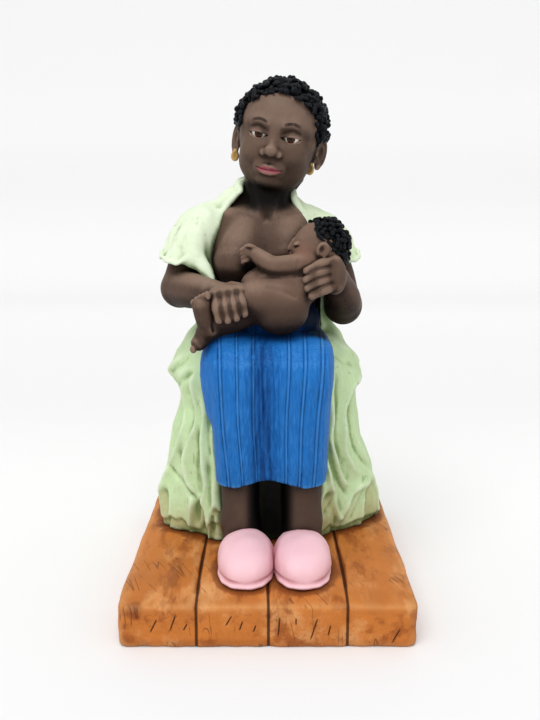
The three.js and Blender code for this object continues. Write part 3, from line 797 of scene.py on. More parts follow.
motherForm = {
    "torso": [       # height above the boards, left, right, front, back
        (96, 27, 27, 20, 20), (116, 25, 25, 19, 20), (138, 27, 27, 19, 20), (152, 28, 27, 18, 18),
        (162, 24, 24, 15, 15), (168, 14, 14, 12, 12)],
    "breasts": [[(-11, 12, 179, 7), (-13, 6.5, 171, 11), (-14.5, 2.5, 163, 12.5)],
                [(11, 13, 180, 7), (10.5, 7.5, 173, 10.5), (10.5, 4, 166, 11.5)]],
    "upperArms": [[(-40, 20, 172, 8), (-43.0, 15.5, 160, 8.5), (-45.2, 13, 149.4, 9.4)],
                  [(31, 21, 171, 8), (35.6, 17, 156, 8.9), (38.6, 12, 140.4, 9.2)]],
    "forearms": [[(-45.2, 12, 149.4, 9.4), (-36, -2, 149.4, 8.7), (-26.4, -15, 149.4, 6.6)],
                 [(38.6, 12, 140.4, 9.2), (37.8, 0, 146.4, 8.2), (33, -11, 156, 6.3)]],
    "step": 0.72,
}
handForms = {        # first knuckle, step to the next, way to the joint and to the tip
    "right": {"first": (-24.4, -28.5, 150.3), "step": (3.9, 0.5, 0.55), "joint": (0.9, -4.7, -5.5),
              "tip": (2.2, -5.7, -11.2), "palm": [(-26.4, -15, 149.4, 6.5), (-20.4, -22.5, 148.8, 6.8)],
              "knuckles": [(-23.8, -27.0, 148.8, 3.7), (-13.6, -25.8, 150.2, 3.7)],
              "thumb": [(-17, -18, 152.3, 3.6), (-12.5, -23.5, 152.6, 2.9), (-9.5, -27.0, 151.2, 2.3)],
              "under": (0, 1.2, 0.3)},
    "left": {"first": (31.0, -19.9, 165.6), "step": (0.35, -0.35, -3.95), "joint": (-6.4, -5.4, -1.2),
             "tip": (-13.4, -5.2, -4.6), "palm": [(33, -11, 156, 6.3), (30, -16.8, 159, 7.4)],
             "knuckles": [(30.8, -18.8, 164.5, 4.2), (31.8, -19.8, 154, 4.2)],
             "thumb": [(28, -14, 164, 3.4), (26, -17, 167, 2.4), (25.4, -17.6, 168, 2.0)],
             "under": (0.6, 1.6, 0)},
    "radius": 2.4,
    "shares": (0.95, 1.0, 0.97, 0.86),      # lengths of the four fingers beside one another
    "fillers": ((2.5, 0.5), (2.1, 0.9), (2.0, 1), (1.7, 1)),      # radius, how far under the fingers
}


def fingerRun(hand, n, length):
    knuckle = np.array(hand["first"]) + n * np.array(hand["step"])
    joint = knuckle + np.array(hand["joint"]) * length
    tip = knuckle + np.array(hand["tip"]) * length
    return knuckle, joint, tip


def handClay(hand):
    radius, shares = handForms["radius"], handForms["shares"]
    clay = Clay().add(limb(hand["palm"], 1)).add(limb(hand["knuckles"], 1), 3.5)
    for n in range(3):                      # what fills the clefts behind the fingers
        one, two = fingerRun(hand, n, shares[n]), fingerRun(hand, n + 1, shares[n + 1])
        one, two = (np.insert(run, 1, (run[0] + run[1]) / 2, axis=0) for run in (one, two))
        path = [(*((a + b) / 2 + np.array(hand["under"]) * down), size)
                for a, b, (size, down) in zip(one, two, handForms["fillers"])]
        clay.add(limb(path, 3), 0.8)
    for n, length in enumerate(shares):
        knuckle, joint, tip = fingerRun(hand, n, length)
        bones = [(knuckle, 1.04), ((knuckle + joint) / 2, 0.93), (joint, 1.04), ((joint + tip) / 2, 0.9),
                 (tip, 0.82)]
        finger = Clay().add(limb([(*spot, radius * share) for spot, share in bones], 4))
        clay.add(finger.shape(), 0.35)
        clay.add(egg(knuckle + (0, 0.9, 0.6), (2.4, 2.6, 2.5)), 2.0)
    clay.add(limb(hand["thumb"], 4), 1.2)
    return clay


def motherClay():
    torso = Stack(motherForm["torso"], boards, power=2.2, middle=(1, 22), soften=6, caps=(1, 6.0))
    clay = Clay().add(torso.shape())
    clay.add(limb([(-0.5, 23, 181, 14.9), (-0.2, 21, 193, 12.3), (0.2, 20.8, 199, 12.0)], 3), 5.0)
    clay.add(egg((0, 18, 178), (22, 12.5, 14)), 5.0)
    for row in motherForm["breasts"]:
        clay.add(limb(row, 18), 8.5)
    clay.add(limb([(-19.5, 16, 184, 6), (-21.5, 14.5, 173, 7), (-21.5, 12, 163, 7.5)], 4), 5.0)
    clay.add(limb([(-5, 20, 199, 6.3), (-11, 22.8, 192.6, 5.8), (-17, 22.4, 186, 6)], 4), 3.0)
    for row in motherForm["upperArms"] + motherForm["forearms"]:
        clay.add(limb(row, 14), 2.0)
    clay.add(egg((-45, 13.8, 148.5), (8.6, 8.6, 8.4)), 2.5)
    clay.add(egg((39.2, 12, 141.2), (8.3, 8.6, 8.8)), 2.5)
    # collar bones, the hollow between them and the neck's two cords
    for side in (-1, 1):
        clay.add(limb([(side * 3.0, 7.6, 184.2, 1.2), (side * 8, 8.4, 186.0, 1.2),
                       (side * 13.5, 11.8, 187.2, 1.0)], 4), 3.0)
        clay.add(limb([(side * 9.0, 15.5, 203, 2.0), (side * 6.0, 11.4, 194, 2.0),
                       (side * 2.6, 8.6, 185.4, 1.3)], 4), 3.0)
    clay.cut(egg((-0.6, 4.6, 187.4), (1.7, 2.2, 3.0)), 3.0)
    clay.cut(brick((0, 50, 150), (36, 24, 60), 1), 0.5)
    for side in ("right", "left"):
        clay.add(handClay(handForms[side]).shape(), 1.6)
    clay.cut(limb([(-37.5, 5.5, 158.5, 0.7), (-39.5, 2.0, 152.8, 0.9), (-40, 1.6, 146.5, 0.6)], 4), 1.4)
    clay.cut(limb([(44.5, 3.2, 150.5, 0.5), (39.5, 3.5, 152.5, 0.9), (33.5, 5.5, 151.0, 0.6)], 4), 1.4)
    return clay


legForm = {
    "legs": [[(-12.0, -26, 25, 10.4), (-12.6, -25, 36, 9.4), (-13.4, -23, 47, 9.2), (-13.8, -18, 72, 10.2)],
             [(16.4, -26, 25, 10.6), (16.5, -24.5, 36, 9.8), (16.6, -22, 47, 10.0), (16.5, -18, 72, 10.6)]],
    "step": 0.9,
}


def legClay():
    clay = Clay()
    for row in legForm["legs"]:
        clay.add(limb(row, 3), 0.8)
    for x, side in ((-13.6, -1), (16.6, 1)):
        clay.add(egg((x + side * 6.4, -23.5, 38), (3.2, 4.4, 5.0)), 4.0)
    clay.cut(slab((0, 0, floor + 0.2), (0, 0, 1)), 0.2)
    return clay


slipperForm = {
    "places": ((-10.3, 13.0), (16.3, 13.2)),     # middle x and half width
    "length": 22.0,
    "middle": -41.5,
    "welt": 1.0,
    "step": 0.62,
}


def slipperClay(x, halfWidth):
    length, middle, welt = slipperForm["length"], slipperForm["middle"], slipperForm["welt"]
    clay = Clay().add(boxyEgg((x, middle, boards + 4.2), (halfWidth + 0.5, length + 0.1, 11.6), 2.28))
    clay.add(egg((x, middle + 2, boards + 7.6), (halfWidth - 1.6, 15, 8.9)), 3.0)
    wide = halfWidth + welt * 0.3
    sole = Stack([(0, wide - 0.5, wide - 0.5, length + welt - 0.6, 23), (0.9, wide, wide, length + welt, 23),
                  (1.5, wide, wide, length + welt, 23), (2.1, wide - 0.4, wide - 0.4, length + 0.6, 23)],
                 floor, power=2.6, middle=(x, middle), soften=0.8, caps=(0.7, 0.9),
                 fold=lambda angle, height, *_: 0.3 * np.sin(9 * angle + x) * np.sin(4 * angle + 1))
    clay.raiseBy(lambda points: 0.3 * ripple(points, 11.0, 8) + 0.05 * ripple(points, 2.6, 9))
    clay.cut(limb([(x + math.cos(a) * (wide + 0.6), middle + math.sin(a) * (length + 1.0), 24.2, 0.55)
                   for a in np.linspace(math.pi * 0.95, math.pi * 2.05, 26)], 1), 0.8)
    clay.add(sole.shape(), 0.3)
    clay.cut(slab((0, 0, floor), (0, 0, 1)), 0.2)
    return clay


# The head, in its own frame: the face looks along -Y and the origin is between the ears

headForm = {
    "middle": (4.9, 20, 220.3),
    "nod": 4.0,
    "tilt": 10.5,
    "turn": 7.0,
    "step": 0.44,
    "smallStep": 0.45,       # of the eyes and earrings
    "eye": (8.0, -13.6, 5.4),
    "eyeRadius": 4.2,
    "lidRadius": 5.1,
    "eyeHalfWidth": 4.8,
    "eyeSlant": 3.0,
    "ear": (21.2, 2.6, 0.4),
    "earSize": (4.5, 7.0),
    "earFlare": 30.0,
}
headAxes = np.array(Euler([math.radians(a) for a in (headForm["nod"], headForm["tilt"], -headForm["turn"])],
                          "XYZ").to_matrix())
headMiddle = np.array(headForm["middle"])


def toHead(stations):
    return [(*((np.array(s[:3]) - headMiddle) @ headAxes), s[3]) for s in stations]


def eyeOpening(side):         # two arcs that meet at the corners of the eye
    x, y, z = headForm["eye"]
    half = headForm["eyeHalfWidth"]
    slant = math.radians(side * headForm["eyeSlant"])
    arcs = [((half ** 2 + high ** 2) / (2 * high), high) for high in (0.6, 1.9)]

    def measure(points):
        px, pz = points[:, 0] - side * x, points[:, 2] - z + 0.55
        u, v = px * math.cos(slant) + pz * math.sin(slant), pz * math.cos(slant) - px * math.sin(slant)
        above = np.hypot(u, v + arcs[0][0] - arcs[0][1]) - arcs[0][0]
        below = np.hypot(u, v - arcs[1][0] + arcs[1][1]) - arcs[1][0]
        return np.maximum(np.maximum(above, below), points[:, 1] - y + 0.5)
    middle = np.array((side * x, y - 4, z))
    return measure, middle - 4.5, middle + 4.5


def earPoint(side, angle, grow=1.0, out=0.0):
    x, y, z = headForm["ear"]
    deep, high = headForm["earSize"]
    flare = math.radians(headForm["earFlare"])
    along = math.cos(math.radians(angle)) * deep * grow
    return (side * (x + math.sin(flare) * along + math.cos(flare) * out),
            y + math.cos(flare) * along - math.sin(flare) * out,
            z + math.sin(math.radians(angle)) * high * grow)


def headClay():
    clay = Clay(headMiddle, headAxes)
    clay.add(egg((0, 2, 9), (21, 22, 21.7)))
    clay.add(egg((0, -3, -1.5), (17.6, 17.8, 17.6), (8, 0, 0)), 4.0)
    clay.add(egg((0, -8.2, -12.2), (10.8, 9.3, 7.4)), 5.0)
    clay.add(limb(toHead([(0.4, 20.8, 192, 12.1), (0.6, 20.4, 199, 11.9), (2.6, 19.4, 208, 11.8)]), 3), 5.0)
    for side in (-1, 1):
        clay.add(limb([(side * 13.5, 2.5, -14, 2.2), (side * 10.2, 0.5, -20, 2.2),
                       (side * 6.6, -3.0, -27, 2.0)], 3), 3.0)
        clay.add(limb([(side * 14.5, -11.6, 9.6, 1.8), (side * 9.5, -16.4, 11.2, 2.1),
                       (side * 4, -18.2, 10.2, 2.0)], 3), 3.6)
        clay.cut(egg((side * 8.4, -21.8, 5.2), (5.6, 4.6, 3.5)), 3.2)
        clay.add(egg((side * 9.8, -13.2, -3.4), (5.4, 5.2, 5.2)), 4.0)
        clay.add(egg((side * 10.8, -5.5, -9.2), (6.0, 8.0, 6.8)), 4.5)
    clay.add(limb([(0, -17.6, 9.0, 1.9), (0, -19.6, 3.4, 1.8), (0, -22.0, -1.8, 2.6)], 3), 2.2)
    clay.add(egg((0, -22.1, -2.3), (3.1, 2.9, 2.5)), 1.4)
    for side in (-1, 1):
        clay.add(egg((side * 3.3, -20.1, -3.3), (2.3, 2.8, 2.0)), 1.1)
        clay.cut(egg((side * 1.8, -22.0, -5.2), (1.05, 1.4, 0.8)), 0.7)
    clay.add(egg((0, -17.4, -10.6), (6.8, 3.3, 4.4)), 3.0)                   # the mouth's mound
    clay.cut(limb([(0, -21.9, -6.4, 0.5), (0, -21.6, -7.8, 0.6)], 1), 1.2)
    upper = [(5.9, -18.0, -10.7, 0.5), (3.4, -20.1, -10.0, 1.0), (1.3, -21.0, -9.6, 1.2),
             (0, -21.1, -9.9, 1.15)]
    lower = [(5.2, -18.5, -11.4, 0.6), (2.8, -20.2, -12.1, 1.35), (0, -20.9, -12.4, 1.6)]
    for stations in (upper, lower):
        mirrored = [(-x, y, z, radius) for x, y, z, radius in stations[:-1]][::-1]
        clay.add(limb(stations + mirrored, 3), 0.9)
    clay.cut(limb([(6.6, -19.2, -10.6, 0.3), (3.2, -21.7, -11.1, 0.36), (0, -22.7, -11.2, 0.4),
                   (-3.2, -21.7, -11.1, 0.36), (-6.6, -19.2, -10.6, 0.3)], 3), 0.5)
    clay.cut(limb([(3.0, -20.3, -15.1, 0.7), (0, -21.0, -15.2, 0.8), (-3.0, -20.3, -15.1, 0.7)], 3), 2.0)
    clay.add(egg((0, -14.8, -16.6), (5.0, 3.8, 3.6)), 3.0)
    x, y, z = headForm["eye"]
    ball, lidSize = headForm["eyeRadius"], headForm["lidRadius"]
    for side in (-1, 1):
        clay.add(egg((side * x, y, z), (lidSize,) * 3), 0.7)
        crease = [(side * (x - 4.0), y - 4.2, z + 1.9, 0.2), (side * x, y - 4.9, z + 3.2, 0.25),
                  (side * (x + 4.2), y - 3.1, z + 2.0, 0.2)]
        clay.cut(limb(crease, 4), 0.9)
        clay.cut(eyeOpening(side), 0.3)
        clay.cut(egg((side * x, y, z), (ball - 0.05,) * 3), 0.1)
    clay.cut(brick((0, 24, 25), (40, 20, 22), 1), 0.5)      # under the hair
    deep, high = headForm["earSize"]
    for side in (-1, 1):                                # ears
        turn = (0, 0, -side * headForm["earFlare"])
        clay.add(egg(headForm["ear"] * np.array((side, 1, 1)), (1.5, deep, high), turn), 1.0)
        clay.cut(egg(earPoint(side, 180, 0.1, 1.9), (1.4, deep * 0.52, high * 0.56), turn), 0.7)
        rim = [(*earPoint(side, angle, 0.94, 0.5), size) for angle, size in (
            (185, 0.8), (150, 0.95), (115, 1.05), (80, 1.1), (40, 1.1), (0, 1.05), (-40, 1.0), (-75, 1.0))]
        clay.add(limb(rim, 4), 0.6)
        fold = [(*earPoint(side, angle, 0.5, 0.7), 0.6) for angle in (75, 35, -5, -45)]
        clay.add(limb(fold, 3), 0.7)
        clay.add(egg(earPoint(side, -92, 0.93, 0.4), (1.5, 2.0, 2.0)), 0.9)
        clay.add(egg(earPoint(side, 180, 0.85, 0.8), (1.0, 1.3, 1.9)), 0.8)
    return clay


def eyeBall(side):
    x, y, z = headForm["eye"]
    clay = Clay(headMiddle, headAxes)
    return clay.add(egg((side * x, y, z), (headForm["eyeRadius"],) * 3))


def earringClay(side):
    x, y, z = earPoint(side, -96, 1.0, 0.6)
    x, y, z = x - side * (0.6 if side < 0 else 3.2), y - 1.2, z - 1.0
    ring = [(x + 1.35 * math.sin(turn), y - 0.3 * math.cos(turn), z - 0.4 + 2.1 * math.cos(turn),
             0.75 - 0.3 * math.cos(turn)) for turn in np.linspace(0, 2 * math.pi, 13)]
    clay = Clay(headMiddle, headAxes).add(limb(ring, 3))
    clay.add(egg((x, y + 0.3, z - 0.6), (1.7, 0.9, 2.2)), 0.3)
    clay.add(egg((x, y + 0.4, z + 1.9), (1.2, 1.6, 1.2)), 0.6)
    return clay


# Short knotted hair

hairForm = {
    "radii": (24.2, 25.2, 25.3),
    "middle": (0, 3.5, 8.5),
    "knot": 2.5,             # size of one curl
    "lift": 1.5,
    "arch": (17.4, 24.0),    # half width and top of the bare arch over the face
    "nape": ((-0.6, 10.5, -8.5), (16.4, 9.0, 8.5)),
    "napeKnot": 2.3,
    "napeLift": 1.2,
    "step": 0.56,
}


def knotted(base, size, depth, seed):       # round knots scattered over the skin of one egg
    skin, low, high = base
    small = np.random.default_rng(seed).random((16, 16, 16))

    def measure(points):
        warp = np.stack([ripple(points, size * 5, seed + k) for k in range(3)], 1) * size * 0.3
        q = (points + warp) / size
        cell = np.floor(q).astype(int)
        best = np.full(len(points), 9.0)
        for move in np.ndindex(3, 3, 3):
            here = cell + np.array(move) - 1
            wrapped = here & 15
            index = (wrapped[:, 0], wrapped[:, 1], wrapped[:, 2])
            spot = here + 0.15 + 0.7 * jitter[index]
            gap = lengths(q - spot) - (0.52 + 0.16 * small[index])
            off = skin(spot * size)
            gap = np.where((off < 0.2 * size) & (off > -1.1 * size), gap, 9.0)
            np.minimum(best, gap, out=best)
        knots = best * size * 0.9 - 0.12 * ripple(points, size * 0.55, seed + 5)
        return smoothMin(skin(points) + depth, knots, 0.25)
    return measure, low - 1.5, high + 1.5


def hairClay():
    clay = Clay(headMiddle, headAxes)
    wide, deep, high = hairForm["radii"]
    clay.add(knotted(egg(hairForm["middle"], (wide - 0.8, deep - 0.8, high - 0.8)), hairForm["knot"],
                     hairForm["lift"], 11))
    half, top = hairForm["arch"]
    arch = [(-half, -40)] + [(half * -math.cos(t) * (1 + 0.05 * math.sin(3 * t)),
                              top - half * 0.82 * (1 - math.sin(t)) * 1.05)
                             for t in np.linspace(0, math.pi, 15)] + [(half, -40)]
    clay.cut(prism(arch, -60, -2.5), 2.5)
    clay.cut(brick((0, 4, -31), (45, 45, 20), 2, (-14, 0, 0)), 3.0)
    clay.add(knotted(egg(*hairForm["nape"]), hairForm["napeKnot"], hairForm["napeLift"], 13), 0.5)
    for side in (-1, 1):
        clay.cut(egg((side * 24.5, 0.8, -3.0), (7.5, 6.2, 10.5), (0, side * 8, side * 22)), 1.2)
        clay.cut(egg((side * 22, -9.5, -3.0), (7.5, 6.5, 10.5)), 1.6)
    return clay


# The baby lies across the lap with its head in the crook of an arm

babyForm = {
    "head": (24.5, -11.5, 171),
    "hairMiddle": (26, -11, 171),
    "hairRadii": (13.9, 13.5, 15.1),
    "knot": 2.1,
    "lift": 1.2,
    "step": 0.5,
    "hairStep": 0.45,
}


def babyClay():
    clay = Clay()
    clay.add(egg(babyForm["head"], (12.4, 11.9, 12.9), (0, 8, 0)))
    clay.add(egg((17.8, -13, 169.6), (6.8, 8.6, 8.4), (0, 10, 0)), 2.5)
    clay.add(egg((17.6, -18.2, 166.8), (5.0, 3.8, 4.6)), 2.4)               # cheek
    clay.add(egg((13.4, -13.8, 163.8), (3.0, 3.4, 2.6)), 2.0)               # chin
    clay.add(limb([(12.8, -13.8, 174.6, 1.2), (11.3, -13.9, 172.0, 1.5), (10.9, -13.9, 170.8, 1.6)], 3), 1.4)
    clay.cut(egg((12.6, -19.6, 173.6), (2.0, 1.8, 1.4)), 1.8)
    clay.add(egg((14.0, -18.4, 173.2), (2.0, 1.7, 1.3)), 0.9)               # closed eye
    clay.add(limb([(11.3, -15.8, 168.4, 0.8), (11.0, -13.8, 168.7, 1.0), (11.5, -12.2, 168.4, 0.8)], 3), 0.6)
    clay.add(limb([(11.9, -15.6, 166.7, 0.8), (11.5, -13.8, 166.4, 1.0), (12.0, -12.2, 166.7, 0.8)], 3), 0.6)
    clay.cut(limb([(11.3, -17.0, 167.6, 0.3), (10.0, -13.8, 167.5, 0.3), (11.2, -11, 167.6, 0.3)], 3), 0.4)
    clay.add(egg((25.4, -22.6, 170.4), (2.9, 1.7, 3.5), (0, 15, 10)), 0.8)  # ear
    clay.cut(egg((25.2, -24.4, 170.6), (1.6, 1.0, 2.1), (0, 15, 10)), 0.6)
    clay.add(limb([(23.4, -23.3, 168.5, 0.6), (23.4, -23.7, 171.6, 0.75), (25.4, -23.5, 173.7, 0.8),
                   (27.8, -22.8, 172.4, 0.8), (27.8, -22.6, 169.6, 0.8), (26.0, -23.0, 167.3, 0.9)], 4), 0.5)
    clay.add(limb([(22, -11, 160, 7.5), (8, -12, 157, 9.5), (-4, -13, 153, 8.5)], 4), 2.5)
    clay.add(egg((6, -20, 143.4), (13.6, 12.3, 12.8), (0, 8, 0)), 2.5)
    clay.add(limb([(4, -13, 158, 8.8), (5, -17, 150, 10)], 2), 4.0)
    clay.add(egg((13.5, -14.5, 152.5), (12, 10.5, 9)), 4.0)
    clay.add(egg((18, -15.5, 156), (8, 8.5, 7)), 4.0)
    clay.add(egg((-3, -15.5, 152.5), (9, 9.5, 6.5)), 4.0)
    # a roll of the belly, then the thigh and shin of the near leg
    clay.add(limb([(20, -17.5, 158.2, 4.6), (10, -19.5, 157.0, 5.2), (0, -18.6, 157.4, 4.6)], 4), 2.0)
    clay.add(limb([(2, -20, 147, 10.3), (-4, -22, 147.6, 9.6), (-9.5, -23.0, 147.4, 7.8)], 4), 2.5)
    clay.add(limb([(-9, -22.6, 146.8, 7.4), (-18, -25.5, 141.5, 6.3), (-26.5, -27.5, 137, 5.0)], 6), 1.6)
    # the near foot stands on its heel, the far one lies behind it
    clay.add(limb([(-27.0, -28.6, 134.0, 4.6), (-29.2, -30.4, 140.5, 4.5),
                   (-30.4, -31.4, 146.2, 4.5)], 5), 1.2)
    clay.add(egg((-29.4, -28.4, 133.0), (4.2, 4.0, 4.0)), 1.4)              # heel
    clay.add(limb([(-24.5, -24, 147, 4.4), (-28.0, -26.5, 144, 4.2)], 3), 2.0)
    clay.add(limb([(-5, -18, 145, 8.5), (-14, -20.5, 139.8, 7.2), (-21, -23, 136.4, 6),
                   (-25.5, -25, 135, 5)], 4), 2.0)
    clay.add(limb([(-25.5, -25, 135, 5), (-29.5, -27.3, 131.4, 4.2), (-32.2, -28.9, 128.0, 3.7)], 5), 1.0)
    for n, size in enumerate((1.9, 1.6, 1.5, 1.4, 1.25)):       # toes
        clay.add(egg((-27.4 - n * 1.75, -33.6 + n * 0.35, 150.7 - n * 0.35 - 0.12 * n * n),
                     (size * 0.8, size * 1.05, size * 1.2)), 0.3)
        clay.add(egg((-34.6 + n * 0.5, -31.4 + n * 1.25, 125.4 + n * 0.3),
                     (size * 0.85, size * 0.8, size)), 0.3)
    clay.add(limb([(20, -18.5, 165.2, 5.3), (12, -20.8, 163.8, 5.0), (3.2, -21.8, 163.4, 4.6),
                   (-1.4, -20.6, 165.6, 4.2), (-5.4, -18.0, 168.4, 3.5)], 6), 1.2)
    clay.add(egg((-8.8, -15.8, 169.2), (3.9, 3.3, 4.2), (0, 0, 20)), 1.2)
    for n in range(4):                                          # fingers
        knuckle = np.array((-9.6, -17.6, 171.4)) + n * np.array((0.25, -0.05, -1.75))
        joint, tip = knuckle + (-2.3, 0.2, -0.7), knuckle + (-3.0, 2.4, -1.6)
        clay.add(limb([(*knuckle, 1.15), (*joint, 1.1), (*tip, 1.0)], 4), 0.2)
    clay.add(limb([(-6.4, -18.4, 171.6, 1.2), (-8.6, -18.8, 172.6, 1.1), (-10.4, -18.0, 172.2, 0.9)], 3), 0.4)
    creases = [
        ([(14.2, -25.4, 166.6, 0.4), (13.6, -26.2, 162.8, 0.5), (12.8, -25.2, 159.0, 0.4)], 1.0),
        ([(21, -22.8, 159.6, 0.4), (10, -25.2, 158.6, 0.6), (-3, -24.0, 158.6, 0.4)], 0.9),
        ([(0, -29.6, 154.6, 0.2), (7, -30.2, 153.4, 0.3), (13, -28.8, 150.4, 0.2)], 2.2),
        ([(-1.4, -31.6, 134.0, 0.4), (-3.4, -32.2, 138.4, 0.7), (-6.6, -31.4, 141.6, 0.5)], 1.3),
        ([(-23.4, -32.6, 141, 0.3), (-25.2, -33.0, 137.6, 0.5), (-25.4, -32.0, 134.0, 0.4)], 1.0)]
    for stations, blend in creases:
        clay.cut(limb(stations, 4), blend)
    return clay


def babyHairClay():
    clay = Clay(babyForm["hairMiddle"], turnMatrix((0, 8, 0)))
    wide, deep, high = babyForm["hairRadii"]
    clay.add(knotted(egg((0, 0, 0), (wide - 0.6, deep - 0.6, high - 0.6)), babyForm["knot"],
                     babyForm["lift"], 21))
    face, ear, nearEar = (clay.inward(np.array(spot))
                          for spot in ((8.5, -13, 168), (25.6, -24, 169.8), (29.5, -22, 164.5)))
    clay.cut(egg(face, (17.1, 24, 19.4), (0, 10, 0)), 1.0)
    clay.cut(egg(ear, (4.2, 4.6, 5.2)), 0.8)
    clay.cut(egg(nearEar, (4.6, 5.5, 5.0)), 0.8)
    return clay


# Paint: a small writer of shader nodes; sums on wires make Math nodes

perMetre = 1000.0


class Wire:
    def __init__(self, paint, socket):
        self.paint, self.socket = paint, socket

    def math(self, operation, *others, **settings):
        return self.paint.node("ShaderNodeMath", {"operation": operation, **settings},
                               dict(enumerate((self, *others))))

    def reflected(self, operation, first):
        return self.paint.node("ShaderNodeMath", {"operation": operation}, {0: first, 1: self})

    def __add__(self, other):
        return self.math("ADD", other)

    def __sub__(self, other):
        return self.math("SUBTRACT", other)

    def __mul__(self, other):
        return self.math("MULTIPLY", other)

    def __truediv__(self, other):
        return self.math("DIVIDE", other)

    def __pow__(self, other):
        return self.math("POWER", other)

    def __abs__(self):
        return self.math("ABSOLUTE")

    def __rsub__(self, other):
        return self.reflected("SUBTRACT", other)

    def __rtruediv__(self, other):
        return self.reflected("DIVIDE", other)

    __radd__ = __add__
    __rmul__ = __mul__

    def clamped(self):
        return self.math("MULTIPLY", 1, use_clamp=True)

    def between(self, low, high):         # 0 at low, 1 at high, soft in between
        return self.paint.node("ShaderNodeMapRange", {"interpolation_type": "SMOOTHSTEP"},
                               {"Value": self, "From Min": low, "From Max": high})


class Paint:
    def __init__(self, name):
        self.material = bpy.data.materials.new(name)
        self.material.use_nodes = True
        self.nodes = self.material.node_tree.nodes
        self.links = self.material.node_tree.links
        self.nodes.clear()
        self.output = self.nodes.new("ShaderNodeOutputMaterial")
        self.shader = self.nodes.new("ShaderNodeBsdfPrincipled")
        self.links.new(self.shader.outputs[0], self.output.inputs[0])

    def plug(self, socket, value):
        if isinstance(value, Wire):
            self.links.new(value.socket, socket)
        elif isinstance(value, (tuple, list)) and socket.type == "RGBA" and len(value) == 3:
            socket.default_value = (*value, 1)
        else:
            socket.default_value = value

    def node(self, kind, settings=None, sockets=None, output=0):
        made = self.nodes.new(kind)
        for name, value in (settings or {}).items():
            setattr(made, name, value)
        for name, value in (sockets or {}).items():
            self.plug(made.inputs[name], value)
        return Wire(self, made.outputs[output])

    def stored(self, name, output="Fac"):         # a value kept on the skin's points
        return self.node("ShaderNodeAttribute", {"attribute_name": name}, output=output)

    def own(self):            # the point's place in its clay's own frame, in millimetres
        return self.stored("own", "Vector")

    def place(self, stretch=(1, 1, 1)):       # the point's place in the object, in millimetres
        spot = self.node("ShaderNodeTexCoord", output="Object")
        return self.node("ShaderNodeVectorMath", {"operation": "MULTIPLY"},
                         {0: spot, 1: tuple(perMetre * value for value in stretch)})

    def noise(self, where, size, detail=3.0, roughness=0.55):
        return self.node("ShaderNodeTexNoise", {"normalize": True},
                         {"Vector": where, "Scale": 1 / size, "Detail": detail, "Roughness": roughness})

    def wander(self, where, size, detail=3.0, roughness=0.55):      # noise about 0
        return self.noise(where, size, detail, roughness) - 0.5

    def mix(self, share, one, two, blend="MIX"):
        return self.node("ShaderNodeMix", {"data_type": "RGBA", "blend_type": blend},
                         {0: share, 6: one, 7: two}, output=2)

    def axis(self, vector, letter):
        return self.node("ShaderNodeSeparateXYZ", {}, {0: vector}, output="XYZ".index(letter))

    def relief(self, height, depth):          # depth in millimetres
        bump = self.node("ShaderNodeBump", {}, {"Height": height, "Distance": depth * millimetre,
                                                "Strength": 1.0})
        self.plug(self.shader.inputs["Normal"], bump)

    def finish(self, colour, roughness, shine):
        self.plug(self.shader.inputs["Base Color"], colour)
        self.plug(self.shader.inputs["Roughness"], roughness)
        self.shader.inputs["Specular IOR Level"].default_value = shine
        return self.material


grains = {"broad": 16.0, "fine": 2.2, "strokes": 1.3}      # sizes of the paint's patches, in millimetres
# painted shade, multiplied over the marks of painted shadow
paintedShadeMultiply = (0.22, 0.22, 0.22)


def castPaint(name, colour, dark, light, roughness, wash, rub, mottle, grit, shine, brush=(1, 1, 0.3),
              under=0.3, tints=None, tint=None, scored=None, hushed=None):
    paint = Paint(name)
    where = paint.place()
    shade, crease, ridge, up = (paint.stored(mark) for mark in ("shade", "crease", "ridge", "up"))
    broad = paint.noise(where, grains["broad"], 4.0, 0.6)
    fine = paint.noise(where, grains["fine"], 4.0, 0.65)
    strokes = paint.noise(paint.place(brush), grains["strokes"], 3.0, 0.6)
    base = colour
    if tint:
        for part, share in tint(paint, where).items():
            base = paint.mix(share, base, tints[part])
    # painted shade where the surface faces down and where the clay around closes in, on top of a dark wash
    # pooled in the creases
    below = up.between(0.25, -0.75) * under
    closed = shade * 0.85 + crease * 0.9 + below + (fine - 0.5) * 0.35 + (broad - 0.5) * 0.3 - 0.1
    deep = closed.between(0.05, 0.85)
    mixed = paint.mix(deep * wash, base, dark)
    # rubbed lights on the ridges, with painted light where the surface faces up
    litAndRubbed = ridge * 1.1 + up.between(0.1, 1.0) * under + (strokes - 0.5) * 0.5 - shade * 0.5
    litAndRubbedShare = litAndRubbed.between(0.15, 0.95)
    if hushed:                          # no rubbed lights or painted light where this mark of painted shade lies, and painted shade multiplied over it
        litAndRubbedShare = litAndRubbedShare * (1 - paint.stored(hushed)).clamped()
        mixed = paint.mix(paint.stored(hushed), mixed, paintedShadeMultiply, "MULTIPLY")
    mixed = paint.mix(litAndRubbedShare * rub, mixed, light)
    uneven = (broad.between(0.3, 0.7) * 0.7 + strokes.between(0.35, 0.7) * 0.3) * mottle
    mixed = paint.mix(uneven, mixed, dark, "MULTIPLY")
    height = strokes * 0.6 + fine * 0.7
    if scored:                          # lines scratched into the surface, dark at the bottom
        lines, depth = scored(paint)
        mixed = paint.mix(lines * 0.9, mixed, tuple(value * 0.35 for value in dark))
        height = height - lines * (depth / grit)
    paint.relief(height, grit)
    rough = roughness + (fine - 0.5) * 0.22 + deep * 0.1 - litAndRubbedShare * 0.06
    return paint.finish(mixed, rough.clamped(), shine)
